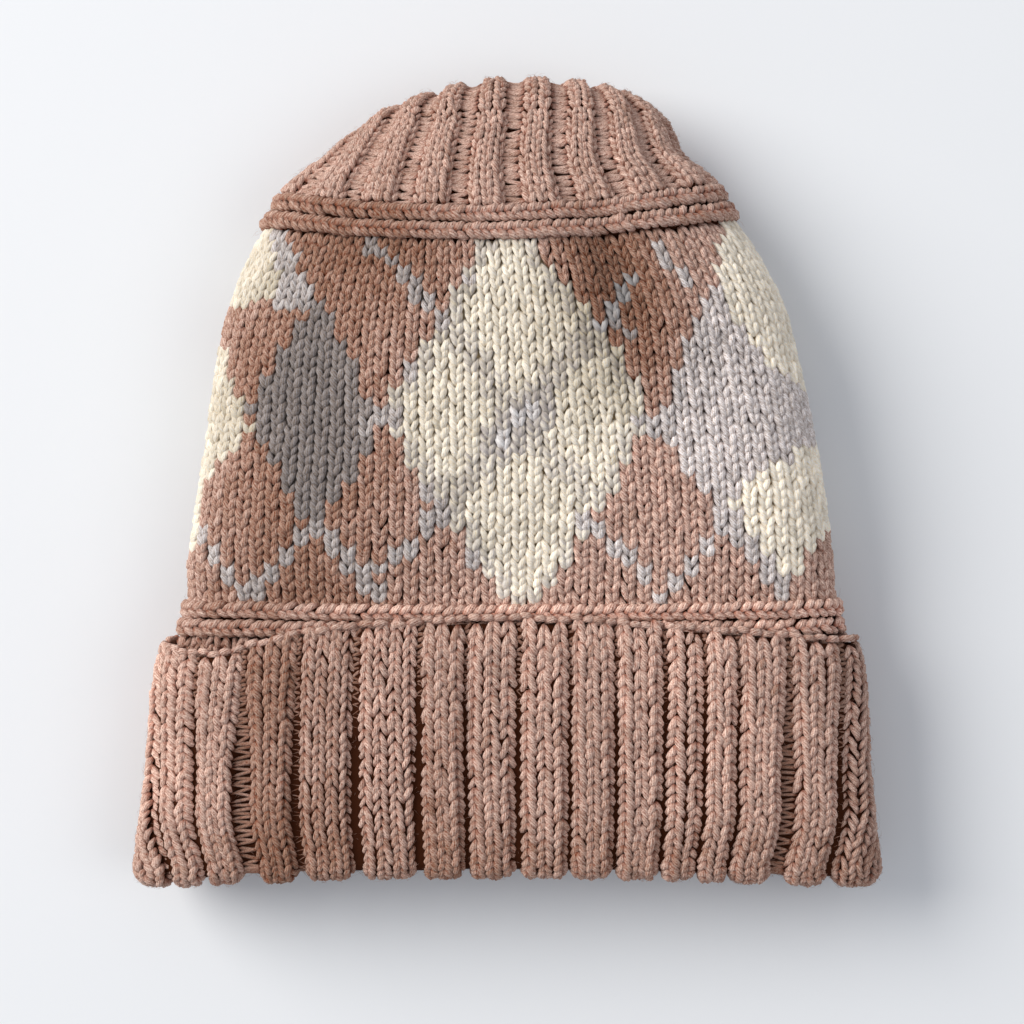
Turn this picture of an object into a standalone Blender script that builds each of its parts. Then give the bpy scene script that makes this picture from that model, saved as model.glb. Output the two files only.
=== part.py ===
"""A knitted hat with a turned-up ribbed cuff, lying flat on a table as it was laid down.

The hat is one tube of knitting, closed at the crown. It is built as its knitted sections, from
the mouth up: the folded cuff, the lower welt, the patterned body, the upper welt and the ribbed
crown. Every section is a wall laid on one base surface, which runs from the mouth to the tip.
X runs across the hat, +Y from the mouth towards the crown, +Z up from the table. Metres.
"""

import math
from collections import namedtuple

import bmesh
import bpy
import numpy as np

# The body as it lies: its outside width and height, and its length between the two welts
BODY_WIDTH = 0.195
BODY_HEIGHT = 0.047
BODY_LENGTH = 0.1054

# The turned-up cuff: how deep it is at the hat's two sides, how much further its free edge reaches
# up the middle of the front and of the back, and how much further it stands out there, over the
# lower welt. Its free edge sags at one place and rolls in a little. Its stand is the height of its
# ribs over the body's outer face. A turn of 0.5 is the middle of the side that faces up.
CUFF_DEPTH = 0.0671
CUFF_ARCH = 0.0088
CUFF_SAG = 0.0040
CUFF_SAG_TURN = 0.70
CUFF_SAG_TURN_WIDTH = 0.04
CUFF_STAND = 0.0065
CUFF_FLARE = 0.0018
CUFF_RIBS = 30
CUFF_RIB_SHARE = 0.78
EDGE_ROLL = 0.0008
EDGE_ROLL_SHARE = 0.96

# Knitted walls. A rib wall is the wall itself, and the ribs stand on it by the rib height.
KNIT_WALL = 0.0032
RIB_WALL = 0.0030
RIB_HEIGHT = 0.0022
LAYER_CLEARANCE = 0.0006

# The two welts, each a band of two raised ridges. The profile gives one ridge, from the welt's
# edge to its middle, as shares of its width and of the ridge's height.
WELT_WIDTH = 0.0102
WELT_RIDGE = 0.0024
WELT_PROFILE = ((0.0, 0.1), (0.10, 0.85), (0.25, 1.0), (0.40, 0.85), (0.5, 0.05))

# How far from the fold the lower welt lies
LOWER_WELT_START = 0.0706

# The crown, from the upper welt to the tip. Its ribs sink by the fade, a share of their height.
CROWN_LENGTH = 0.0321
CROWN_RIBS = 18
CROWN_RIB_SHARE = 0.62
CROWN_RIB_FADE = 0.6

# How a rib's section is drawn: the flat floor of a gap as a share of the gap, the slope up to the
# shoulder as a share of the rib, and how far the shoulder lies below the rib's middle
GAP_FLOOR_SHARE = 0.56
SHOULDER_SHARE = 0.10
SHOULDER_DROP = 0.12

# Clear gap where one knitted section meets the next
SEAM_GAP = 0.0003

# Where the sections begin, from the fold at the mouth to the tip
LOWER_WELT_END = LOWER_WELT_START + WELT_WIDTH
UPPER_WELT_START = LOWER_WELT_END + BODY_LENGTH
UPPER_WELT_END = UPPER_WELT_START + WELT_WIDTH
HAT_LENGTH = UPPER_WELT_END + CROWN_LENGTH

# Base surface. along is a share of the hat's length from the fold. half_width and shift (to +X)
# are shares of the body's width. mid, rise and drop are shares of the body's height: the height
# of the widest line, and how far the ring reaches above and below it. bow is how far the sides of
# a ring lie nearer the crown than its middle, and lean how far its right side does, as shares of
# the length. tilt leans the ring's top towards the crown, in degrees. square is 2 for an ellipse
# and more for a ring with a flat top and tight sides.
Section = namedtuple("Section", "along half_width shift mid rise drop bow lean tilt square")
SECTIONS = (
    Section(0.000, 0.542, 0.000, 0.404, 0.255, 0.290, -0.017, 0.000, 0, 3.3),
    Section(0.132, 0.523, 0.001, 0.415, 0.285, 0.301, -0.008, 0.000, 0, 3.2),
    Section(0.274, 0.508, 0.003, 0.425, 0.330, 0.312, 0.000, 0.001, 0, 3.0),
    Section(0.346, 0.494, 0.004, 0.436, 0.372, 0.337, 0.004, 0.001, 0, 2.8),
    Section(0.415, 0.487, 0.004, 0.436, 0.455, 0.400, 0.007, 0.001, 0, 2.7),
    Section(0.488, 0.475, 0.005, 0.436, 0.525, 0.445, 0.008, 0.001, 0, 2.6),
    Section(0.569, 0.459, 0.004, 0.436, 0.555, 0.465, 0.011, 0.002, 0, 2.5),
    Section(0.647, 0.443, 0.000, 0.426, 0.570, 0.465, 0.013, 0.002, 0, 2.5),
    Section(0.726, 0.418, -0.003, 0.426, 0.560, 0.465, 0.018, 0.003, 0, 2.5),
    Section(0.778, 0.388, -0.008, 0.426, 0.545, 0.455, 0.022, 0.005, 0, 2.4),
    Section(0.829, 0.348, -0.013, 0.426, 0.515, 0.425, 0.027, 0.006, 0, 2.4),
    Section(0.870, 0.316, -0.012, 0.415, 0.490, 0.400, 0.028, 0.006, 1, 2.3),
    Section(0.905, 0.269, -0.008, 0.390, 0.460, 0.365, 0.023, 0.004, 8, 2.3),
    Section(0.937, 0.246, 0.004, 0.365, 0.415, 0.320, 0.017, 0.003, 19, 2.2),
    Section(0.964, 0.214, 0.019, 0.340, 0.365, 0.260, 0.011, 0.001, 33, 2.2),
    Section(0.983, 0.177, 0.031, 0.305, 0.290, 0.190, 0.004, 0.000, 49, 2.1),
    Section(0.995, 0.133, 0.034, 0.255, 0.180, 0.110, 0.001, 0.000, 63, 2.0),
    Section(1.000, 0.000, 0.034, 0.213, 0.000, 0.000, 0.000, 0.000, 75, 2.0),
)

# Soft dents. turn is the share of the way round, from the middle of the underside towards +X, so
# 0.5 is the middle of the top. along is as above. The widths are half widths in the same shares,
# and depth is a share of the body's height.
Dent = namedtuple("Dent", "turn along turn_width along_width depth")
DENTS = (
    Dent(0.405, 0.781, 0.022, 0.105, 0.050),
    Dent(0.640, 0.807, 0.030, 0.063, 0.032),
    Dent(0.550, 0.591, 0.060, 0.127, -0.020),
    Dent(0.340, 0.549, 0.028, 0.127, 0.022),
    Dent(0.690, 0.348, 0.060, 0.032, 0.045),
)

RING_SAMPLES = 384
NORMAL_STEP = 0.0015

# How many flats go round the sections without ribs, and how many rings make the body and the crown
PLAIN_SIDES = 48
BODY_ROWS = 8
CROWN_ROWS = 6

# The angle between two facets, in degrees, above which their edge is shaded as a sharp one
SHARP_EDGE = 50

# A row of a wall: its place along the hat and its height over the base surface at the ribs' tops,
# in metres, the angle that its right side faces (90 degrees is straight out from the base, 180 is
# towards the mouth), and what share of the rib height its gaps are deep.
# arch is the share of the cuff's arch and of its flare that the row follows.
WallRow = namedtuple("WallRow", "along lift facing rib arch", defaults=(0.0,))

# Colours of the yarns, and how rough wool is
ROSE = (0.42, 0.245, 0.19, 1.0)
ROSE_PALE = (0.50, 0.31, 0.25, 1.0)
CREAM_ROSE = (0.55, 0.40, 0.32, 1.0)
WOOL_ROUGHNESS = 0.9


def clear_scene():
    for thing in list(bpy.data.objects):
        bpy.data.objects.remove(thing)


def smooth_columns(along):
    """Every column of the section table at one place along the hat, on a smooth curve."""
    table = np.array(SECTIONS, float)
    stations = table[:, 0]
    values = table[:, 1:]
    slopes = np.gradient(values, stations, axis=0)
    place = float(np.clip(along, stations[0], stations[-1]))
    i = int(np.clip(np.searchsorted(stations, place) - 1, 0, len(stations) - 2))
    span = stations[i + 1] - stations[i]
    t = (place - stations[i]) / span
    h00 = 2 * t**3 - 3 * t**2 + 1
    h10 = t**3 - 2 * t**2 + t
    h01 = -2 * t**3 + 3 * t**2
    h11 = t**3 - t**2
    mixed = (
        h00 * values[i]
        + h10 * span * slopes[i]
        + h01 * values[i + 1]
        + h11 * span * slopes[i + 1]
    )
    return Section(along, *mixed)


def ring(along, turns):
    """Points of the base surface round the hat, at equal shares of the ring's own length."""
    s = smooth_columns(along)
    angle = np.linspace(-math.pi / 2, 1.5 * math.pi, RING_SAMPLES + 1)
    power = 2.0 / s.square
    across = np.sign(np.cos(angle)) * np.abs(np.cos(angle)) ** power
    upward = np.sign(np.sin(angle)) * np.abs(np.sin(angle)) ** power
    x = across * max(s.half_width, 0.0) * BODY_WIDTH
    h = upward * np.where(upward > 0, max(s.rise, 0.0), max(s.drop, 0.0)) * BODY_HEIGHT
    y = (s.bow * across**2 + s.lean * across) * HAT_LENGTH
    run = np.concatenate([[0.0], np.cumsum(np.hypot(np.diff(x), np.diff(h)))])
    if run[-1] <= 0.0:
        run = np.linspace(0.0, 1.0, RING_SAMPLES + 1)
    wanted = np.mod(turns, 1.0) * run[-1]
    x, h, y = (np.interp(wanted, run, column) for column in (x, h, y))
    tilt = math.radians(s.tilt)
    return np.stack(
        [
            x + s.shift * BODY_WIDTH,
            (s.along - 0.5) * HAT_LENGTH + y + h * math.sin(tilt),
            s.mid * BODY_HEIGHT + h * math.cos(tilt),
        ],
        axis=1,
    )


def normals(along, turns):
    """Outward directions of the base surface at the points of a ring."""
    step = NORMAL_STEP / HAT_LENGTH
    low = max(along - step, SECTIONS[0].along)
    high = min(along + step, SECTIONS[-1].along)
    lengthwise = ring(high, turns) - ring(low, turns)
    turn_step = 1.0 / RING_SAMPLES
    around = ring(along, turns + turn_step) - ring(along, turns - turn_step)
    facing = np.cross(lengthwise, around)
    return facing / np.linalg.norm(facing, axis=1, keepdims=True)


def dent_lift(along, turns):
    """How far the soft dents push the surface in, and the swells push it out."""
    lift = np.zeros_like(turns)
    for dent in DENTS:
        sideways = (turns - dent.turn) / dent.turn_width
        lengthwise = (along - dent.along) / dent.along_width
        lift -= dent.depth * BODY_HEIGHT * np.exp(-(sideways**2) - lengthwise**2)
    return lift


def proud(along):
    """How far the knitting stands out from the base surface, along the hat."""
    heights_at = {
        0.0: CUFF_STAND,
        CUFF_DEPTH + CUFF_ARCH: CUFF_STAND + CUFF_FLARE,
        LOWER_WELT_END: 0.0,
        UPPER_WELT_START - WELT_WIDTH: 0.0,
        UPPER_WELT_START: WELT_RIDGE,
        UPPER_WELT_END: max(WELT_RIDGE, RIB_HEIGHT),
    }
    return np.interp(along, list(heights_at), list(heights_at.values()))


def placed(alongs, turns, lifts):
    """Points over the base surface: raised by lift along its own outward directions. Where the
    knitting would reach below the table, all its layers are pressed up together."""
    points = np.empty((len(turns), 3))
    for along in np.unique(alongs):
        here = alongs == along
        share = along / HAT_LENGTH
        base = ring(share, turns[here])
        out = normals(share, turns[here])
        raised = lifts[here] + dent_lift(share, turns[here])
        underside = base[:, 2] + np.minimum(out[:, 2], 0.0) * proud(along)
        points[here] = base + out * raised[:, None]
        points[here, 2] += np.maximum(-underside, 0.0)
    return points


def even_turns(count):
    return np.arange(count) / count


def rib_turns(ribs, rib_share):
    """Five turns for each rib: the edges of the purl gap beside it, its shoulders and its middle."""
    gap_edge = (1.0 - rib_share) * GAP_FLOOR_SHARE / 2.0
    shoulder = (1.0 - rib_share) / 2.0 + SHOULDER_SHARE * rib_share
    phases = (-gap_edge, gap_edge, shoulder, 0.5, 1.0 - shoulder)
    return np.array([(rib + phase) / ribs for rib in range(ribs) for phase in phases])


def gap_depths(ribs):
    """How deep the right side lies below the ribs' tops, for the turns that rib_turns gives."""
    shoulder = SHOULDER_DROP * RIB_HEIGHT
    return np.tile([RIB_HEIGHT, RIB_HEIGHT, shoulder, 0.0, shoulder], ribs)


def arch_shape(turns):
    """1 at the middle of the front and of the back, falling to 0 at the two sides."""
    return np.abs(np.cos(2.0 * math.pi * turns))


def edge_rise(turns):
    """How far the cuff's free edge reaches beyond its depth at the sides. It sags on one side."""
    sag = CUFF_SAG * np.exp(-(((turns - CUFF_SAG_TURN) / CUFF_SAG_TURN_WIDTH) ** 2))
    return CUFF_ARCH * arch_shape(turns) - sag


def wall_rings(rows, turns, depths, wall):
    """Rings up the right side of a wall and back down its hidden side, a wall's thickness under it."""
    rings = []
    for under, order in ((0.0, rows), (wall, rows[::-1])):
        for row in order:
            depth = depths * row.rib + under
            alongs = row.along + row.arch * edge_rise(turns) - depth * math.cos(row.facing)
            flare = CUFF_FLARE * row.arch * arch_shape(turns)
            lifts = row.lift + flare - depth * math.sin(row.facing)
            rings.append(placed(alongs, turns, lifts))
    return rings


def lofted(name, rings, closed_tips):
    """A skin through rings of points, extruded from ring to ring. Its two ends are joined to each
    other, which makes a hollow tube of cloth, or each is drawn together at its own tip."""
    shape = bmesh.new()
    count = len(rings[0])
    made = bmesh.ops.create_circle(shape, cap_ends=False, radius=1.0, segments=count)
    first = made["verts"]
    move_to(first, rings[0])
    loop = first
    for points in rings[1:]:
        loop = extruded(shape, loop)
        move_to(loop, points)
    if closed_tips:
        for end, points in ((first, rings[0]), (loop, rings[-1])):
            tip = extruded(shape, end)
            bmesh.ops.pointmerge(shape, verts=tip, merge_co=points.mean(axis=0))
    else:
        bmesh.ops.bridge_loops(shape, edges=edges_round(shape, first) + edges_round(shape, loop))
    bmesh.ops.recalc_face_normals(shape, faces=shape.faces)
    mesh = bpy.data.meshes.new(name)
    shape.to_mesh(mesh)
    shape.free()
    return mesh


def extruded(shape, loop):
    """The next ring of vertices, in the same order as the ring that it was extruded from."""
    grown = bmesh.ops.extrude_edge_only(shape, edges=edges_round(shape, loop))["geom"]
    above = {vert for vert in grown if isinstance(vert, bmesh.types.BMVert)}
    return [next(v for v in neighbours(vert) if v in above) for vert in loop]


def neighbours(vert):
    return [edge.other_vert(vert) for edge in vert.link_edges]


def edges_round(shape, loop):
    return [shape.edges.get(pair) for pair in zip(loop, loop[1:] + loop[:1])]


def move_to(verts, points):
    for vert, point in zip(verts, points):
        vert.co = point


def wool(name, colour):
    material = bpy.data.materials.new(name)
    material.use_nodes = True
    shader = material.node_tree.nodes["Principled BSDF"]
    shader.inputs["Base Color"].default_value = colour
    shader.inputs["Roughness"].default_value = WOOL_ROUGHNESS
    shader.inputs["Metallic"].default_value = 0.0
    material.diffuse_color = colour
    return material


def knitted(name, rings, colour, collection, closed_tips=False):
    """A knitted section as an object. Its wall is lofted on both sides from the base surface, and
    not thickened from one side, so that the rims of two sections face each other squarely."""
    mesh = lofted(name, rings, closed_tips)
    mesh.materials.append(wool(name + "_yarn", colour))
    mesh.shade_smooth()
    mesh.set_sharp_from_angle(angle=math.radians(SHARP_EDGE))
    section = bpy.data.objects.new(name, mesh)
    collection.objects.link(section)
    return section


def cuff_rows():
    """The cuff's right side from its free edge, down, round the fold and up inside the mouth.

    The fold is half a circle across the two layers, and turns the way that the cloth faces.
    """
    radius = RIB_WALL + RIB_HEIGHT + LAYER_CLEARANCE / 2.0
    middle = CUFF_STAND - radius
    inner_top = LOWER_WELT_START - SEAM_GAP
    outwards = math.radians(90)
    rolled_edge = CUFF_STAND - EDGE_ROLL
    rows = [WallRow(CUFF_DEPTH, rolled_edge, outwards, 0.5, 1.0)]
    for share in (EDGE_ROLL_SHARE, 0.55):
        rows.append(WallRow(CUFF_DEPTH * share, CUFF_STAND, outwards, 1.0, share**2))
    for degrees in (90, 135, 180, 225, 270):
        facing = math.radians(degrees)
        along = radius + radius * math.cos(facing)
        lift = middle + radius * math.sin(facing)
        rows.append(WallRow(along, lift, facing, 1.0))
    inwards = math.radians(270)
    rows += [WallRow(inner_top * share, middle - radius, inwards, 1.0) for share in (0.5, 1.0)]
    return rows


def cuff_rings():
    turns = rib_turns(CUFF_RIBS, CUFF_RIB_SHARE)
    return wall_rings(cuff_rows(), turns, gap_depths(CUFF_RIBS), RIB_WALL)


def straight_rows(start, end, shares, lift=0.0, rib=0.0):
    """Rows of a wall that faces straight out, at shares of the way from start to end."""
    outwards = math.radians(90)
    return [WallRow(start + (end - start) * share, lift, outwards, rib) for share in shares]


def welt_rings(start):
    """A band of two ridges, with the cloth between and beside them level with the body."""
    low = start + SEAM_GAP
    high = start + WELT_WIDTH
    other_ridge = tuple((1.0 - share, lift) for share, lift in WELT_PROFILE[-2::-1])
    rows = []
    for share, lift in WELT_PROFILE + other_ridge:
        rows += straight_rows(low, high, [share], lift=WELT_RIDGE * lift)
    turns = even_turns(PLAIN_SIDES)
    level = np.zeros(PLAIN_SIDES)
    hidden = straight_rows(low, high, (0.0, 1.0))
    rings = [placed(level + row.along, turns, level + row.lift) for row in rows]
    rings += [placed(level + row.along, turns, level - KNIT_WALL) for row in hidden[::-1]]
    return rings


def body_rings():
    start = LOWER_WELT_END + SEAM_GAP
    rows = straight_rows(start, UPPER_WELT_START, np.linspace(0.0, 1.0, BODY_ROWS))
    level = np.zeros(PLAIN_SIDES)
    return wall_rings(rows, even_turns(PLAIN_SIDES), level, KNIT_WALL)


def crown_rings():
    """The ribs stand on the base surface, and sink into it where the tip is drawn together."""
    start = UPPER_WELT_END + SEAM_GAP
    end = SECTIONS[-2].along * HAT_LENGTH
    rows = []
    for share in np.linspace(0.0, 1.0, CROWN_ROWS):
        height = 1.0 - CROWN_RIB_FADE * share**2
        rows += straight_rows(start, end, [share], lift=RIB_HEIGHT * height, rib=height)
    turns = rib_turns(CROWN_RIBS, CROWN_RIB_SHARE)
    return wall_rings(rows[::-1], turns, gap_depths(CROWN_RIBS), RIB_WALL)


def main():
    clear_scene()
    hat = bpy.data.collections.new("knitted_hat")
    bpy.context.scene.collection.children.link(hat)
    sections = (
        ("turned_up_cuff", cuff_rings(), ROSE_PALE),
        ("lower_welt", welt_rings(LOWER_WELT_START), ROSE),
        ("patterned_body", body_rings(), CREAM_ROSE),
        ("upper_welt", welt_rings(UPPER_WELT_START), ROSE),
        ("ribbed_crown", crown_rings(), ROSE_PALE),
    )
    everything = np.concatenate([points for _, rings, _ in sections for points in rings])
    middle = (everything.min(axis=0) + everything.max(axis=0)) / 2.0
    middle[2] = 0.0
    for name, rings, colour in sections:
        centred = [points - middle for points in rings]
        knitted(name, centred, colour, hat, closed_tips=name == "ribbed_crown")


main()
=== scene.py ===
# %% [markdown]
# # A knitted hat with a turned-up cuff
#
# This is a winter hat in soft double-knitting wool. It was knitted in the round from the cuff to
# the crown, and it lies flat on a table. Every surface on it is yarn, so the lesson makes yarn:
# about 26,000 small grains, one for each leg of a stitch that can be seen, laid over one base
# surface.

import math
from collections import namedtuple

import bmesh
import bpy
import numpy as np
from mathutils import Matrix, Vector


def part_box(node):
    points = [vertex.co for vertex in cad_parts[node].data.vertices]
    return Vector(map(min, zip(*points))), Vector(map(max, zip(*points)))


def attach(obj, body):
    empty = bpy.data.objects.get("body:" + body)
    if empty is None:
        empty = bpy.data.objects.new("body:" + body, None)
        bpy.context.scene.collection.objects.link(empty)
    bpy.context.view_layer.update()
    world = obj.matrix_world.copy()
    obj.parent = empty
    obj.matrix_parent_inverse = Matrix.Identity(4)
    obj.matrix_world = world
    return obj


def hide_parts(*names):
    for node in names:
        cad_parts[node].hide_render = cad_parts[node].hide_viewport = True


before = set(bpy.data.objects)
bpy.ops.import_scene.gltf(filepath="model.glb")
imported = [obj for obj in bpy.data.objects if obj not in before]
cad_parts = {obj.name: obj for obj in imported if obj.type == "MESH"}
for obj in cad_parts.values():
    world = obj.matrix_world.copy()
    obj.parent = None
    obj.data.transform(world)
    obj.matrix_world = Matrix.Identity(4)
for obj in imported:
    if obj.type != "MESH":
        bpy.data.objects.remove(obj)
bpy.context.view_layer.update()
print("Sections of the hat:", ", ".join(sorted(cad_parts)))

# %% [markdown]
# ## The shape under the stitches
#
# A hat is one tube of cloth. It could be sculpted, but a formula is better here, because each
# stitch has to know where it lies. The surface is a table of rings from the fold at the mouth to
# the tip. Each ring is a flattened oval, and a smooth curve joins the rings. These are the same
# sections that the measured model was built from.

# %% Sizes of the knitted sections, in metres
BODY_WIDTH = 0.195
BODY_HEIGHT = 0.047
BODY_LENGTH = 0.1054
CUFF_DEPTH = 0.0671
CUFF_ARCH = 0.0088
CUFF_SAG = 0.0040
CUFF_SAG_TURN = 0.70
CUFF_SAG_TURN_WIDTH = 0.04
CUFF_STAND = 0.0065
CUFF_FLARE = 0.0018
CUFF_RIBS = 30
RIB_WALL = 0.0030
RIB_HEIGHT = 0.0022
KNIT_WALL = 0.0032
LAYER_CLEARANCE = 0.0006
WELT_WIDTH = 0.0102
WELT_RIDGE = 0.0024
LOWER_WELT_START = 0.0706
CROWN_LENGTH = 0.0321
CROWN_RIBS = 18
LOWER_WELT_END = LOWER_WELT_START + WELT_WIDTH
UPPER_WELT_START = LOWER_WELT_END + BODY_LENGTH
UPPER_WELT_END = UPPER_WELT_START + WELT_WIDTH
HAT_LENGTH = UPPER_WELT_END + CROWN_LENGTH
print(f"From the fold to the tip the hat measures {HAT_LENGTH * 1000:.1f} mm")

# %% The rings, as shares of those sizes
Section = namedtuple("Section", "along half_width shift mid rise drop bow lean tilt square")
SECTIONS = (
    Section(0.000, 0.542, 0.000, 0.404, 0.255, 0.290, -0.017, 0.000, 0, 3.3),
    Section(0.132, 0.523, 0.001, 0.415, 0.285, 0.301, -0.008, 0.000, 0, 3.2),
    Section(0.274, 0.508, 0.003, 0.425, 0.330, 0.312, 0.000, 0.001, 0, 3.0),
    Section(0.346, 0.494, 0.004, 0.436, 0.372, 0.337, 0.004, 0.001, 0, 2.8),
    Section(0.415, 0.487, 0.004, 0.436, 0.455, 0.400, 0.007, 0.001, 0, 2.7),
    Section(0.488, 0.475, 0.005, 0.436, 0.525, 0.445, 0.008, 0.001, 0, 2.6),
    Section(0.569, 0.459, 0.004, 0.436, 0.555, 0.465, 0.011, 0.002, 0, 2.5),
    Section(0.647, 0.443, 0.000, 0.426, 0.570, 0.465, 0.013, 0.002, 0, 2.5),
    Section(0.726, 0.418, -0.003, 0.426, 0.560, 0.465, 0.018, 0.003, 0, 2.5),
    Section(0.778, 0.388, -0.008, 0.426, 0.545, 0.455, 0.022, 0.005, 0, 2.4),
    Section(0.829, 0.348, -0.013, 0.426, 0.515, 0.425, 0.027, 0.006, 0, 2.4),
    Section(0.870, 0.316, -0.012, 0.415, 0.490, 0.400, 0.028, 0.006, 1, 2.3),
    Section(0.905, 0.269, -0.008, 0.390, 0.460, 0.365, 0.023, 0.004, 8, 2.3),
    Section(0.937, 0.246, 0.004, 0.365, 0.415, 0.320, 0.017, 0.003, 19, 2.2),
    Section(0.964, 0.214, 0.019, 0.340, 0.365, 0.260, 0.011, 0.001, 33, 2.2),
    Section(0.983, 0.177, 0.031, 0.305, 0.290, 0.190, 0.004, 0.000, 49, 2.1),
    Section(0.995, 0.133, 0.034, 0.255, 0.180, 0.110, 0.001, 0.000, 63, 2.0),
    Section(1.000, 0.000, 0.034, 0.213, 0.000, 0.000, 0.000, 0.000, 75, 2.0),
)
Dent = namedtuple("Dent", "turn along turn_width along_width depth")
DENTS = (
    Dent(0.405, 0.781, 0.022, 0.105, 0.050),
    Dent(0.640, 0.807, 0.030, 0.063, 0.032),
    Dent(0.550, 0.591, 0.060, 0.127, -0.020),
    Dent(0.340, 0.549, 0.028, 0.127, 0.022),
    Dent(0.690, 0.348, 0.060, 0.032, 0.045),
)
print(len(SECTIONS), "rings carry the shape, and", len(DENTS), "soft dents break it up")

# %% A fine grid of the surface
GRID_ROWS = 400
GRID_TURNS = 1024
OVAL_SAMPLES = 1536


def section_columns(shares):
    """Every column of the section table at many places along the hat, on smooth curves."""
    table = np.array(SECTIONS, float)
    stations, values = table[:, 0], table[:, 1:]
    slopes = np.gradient(values, stations, axis=0)
    i = np.clip(np.searchsorted(stations, shares) - 1, 0, len(stations) - 2)
    span = (stations[i + 1] - stations[i])[:, None]
    t = (shares - stations[i])[:, None] / span
    mixed = (2 * t**3 - 3 * t**2 + 1) * values[i] + (t**3 - 2 * t**2 + t) * span * slopes[i]
    mixed += (3 * t**2 - 2 * t**3) * values[i + 1] + (t**3 - t**2) * span * slopes[i + 1]
    return [Section(share, *row) for share, row in zip(shares, mixed)]


def oval(s, turns):
    """One ring of the base surface, at equal shares of its own length."""
    angle = np.linspace(-math.pi / 2, 1.5 * math.pi, OVAL_SAMPLES + 1)
    power = 2.0 / s.square
    across = np.sign(np.cos(angle)) * np.abs(np.cos(angle)) ** power
    upward = np.sign(np.sin(angle)) * np.abs(np.sin(angle)) ** power
    x = across * max(s.half_width, 0.0) * BODY_WIDTH
    h = upward * np.where(upward > 0, max(s.rise, 0.0), max(s.drop, 0.0)) * BODY_HEIGHT
    y = (s.bow * across**2 + s.lean * across) * HAT_LENGTH
    run = np.concatenate([[0.0], np.cumsum(np.hypot(np.diff(x), np.diff(h)))])
    if run[-1] <= 0.0:
        run = np.linspace(0.0, 1.0, OVAL_SAMPLES + 1)
    x, h, y = (np.interp(turns * run[-1], run, column) for column in (x, h, y))
    tilt = math.radians(s.tilt)
    return np.stack(
        [
            x + s.shift * BODY_WIDTH,
            (s.along - 0.5) * HAT_LENGTH + y + h * math.sin(tilt),
            s.mid * BODY_HEIGHT + h * math.cos(tilt),
        ],
        axis=1,
    )


def unit(vectors):
    return vectors / np.maximum(np.linalg.norm(vectors, axis=-1, keepdims=True), 1e-12)


grid_shares = np.linspace(0.0, 1.0, GRID_ROWS)
grid_turns = np.arange(GRID_TURNS) / GRID_TURNS
grid_points = np.array([oval(s, grid_turns) for s in section_columns(grid_shares)])
lengthwise = np.gradient(grid_points, axis=0)
around = np.roll(grid_points, -1, axis=1) - np.roll(grid_points, 1, axis=1)
grid_fronts = unit(np.cross(lengthwise, around))
ring_lengths = np.linalg.norm(around, axis=2).sum(axis=1) / 2.0
print(f"The widest ring is {ring_lengths.max() * 1000:.0f} mm round")

# %% Dents, and the table pressing up
STAND_TABLE = {
    0.0: CUFF_STAND,
    CUFF_DEPTH + CUFF_ARCH: CUFF_STAND + CUFF_FLARE,
    LOWER_WELT_END: 0.0,
    UPPER_WELT_START - WELT_WIDTH: 0.0,
    UPPER_WELT_START: WELT_RIDGE,
    UPPER_WELT_END: WELT_RIDGE,
}
stands = np.interp(grid_shares * HAT_LENGTH, list(STAND_TABLE), list(STAND_TABLE.values()))
underside = grid_points[..., 2] + np.minimum(grid_fronts[..., 2], 0.0) * stands[:, None]
grid_press = np.maximum(-underside, 0.0)
for dent in DENTS:
    sideways = (grid_turns[None, :] - dent.turn) / dent.turn_width
    along_it = (grid_shares[:, None] - dent.along) / dent.along_width
    push = dent.depth * BODY_HEIGHT * np.exp(-(sideways**2) - along_it**2)
    grid_points = grid_points - grid_fronts * push[..., None]
print(f"The table presses the underside up by {grid_press.max() * 1000:.1f} mm at most")

# %% Reading the surface anywhere
TIP_SHARE = SECTIONS[-2].along
grid = np.concatenate([grid_points, grid_fronts, grid_press[..., None]], axis=2)


def on_hat(along, turn, lift):
    """Points that stand over the base surface by lift. All three may be arrays of one shape."""
    along, turn, lift = np.broadcast_arrays(along, turn, lift)
    row = np.clip(along / HAT_LENGTH, 0.0, TIP_SHARE) * (GRID_ROWS - 1)
    column = np.mod(turn, 1.0) * GRID_TURNS
    i = np.minimum(row.astype(int), GRID_ROWS - 2)
    j = column.astype(int) % GRID_TURNS
    up, right = (row - i)[..., None], (column - np.floor(column))[..., None]
    k = (j + 1) % GRID_TURNS
    low = grid[i, j] * (1 - right) + grid[i, k] * right
    high = grid[i + 1, j] * (1 - right) + grid[i + 1, k] * right
    found = low * (1 - up) + high * up
    points = found[..., :3] + unit(found[..., 3:6]) * lift[..., None]
    points[..., 2] += found[..., 6]
    return points + grid_shift


grid_shift = np.zeros(3)
probe_turns, probe_rows = np.meshgrid(np.arange(48) / 48, np.linspace(0.0, 1.0, 8))
probe = on_hat(LOWER_WELT_END + BODY_LENGTH * probe_rows, probe_turns, 0.0)
low_corner, high_corner = (np.array(corner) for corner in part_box("patterned_body"))
grid_shift[:2] = ((low_corner + high_corner - probe.min((0, 1)) - probe.max((0, 1))) / 2)[:2]
print("The formula and the measured body differ by", np.round(grid_shift[:2] * 1000, 2), "mm")

# %% [markdown]
# ## One grain of yarn
#
# Seen from the right side, a knitted stitch is two plump legs in a V. Each leg is a short piece
# of yarn whose two ends dive under its neighbours. So one closed grain, thick in the middle and
# drawn to a point at both ends, is enough, and it is made once: a circle is extruded through a
# few rings and merged at both tips. A whole loop of yarn would look the same and cost ten times
# the faces.

# %% The grain
Grain = namedtuple("Grain", "stations station x y faces uv")


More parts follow.
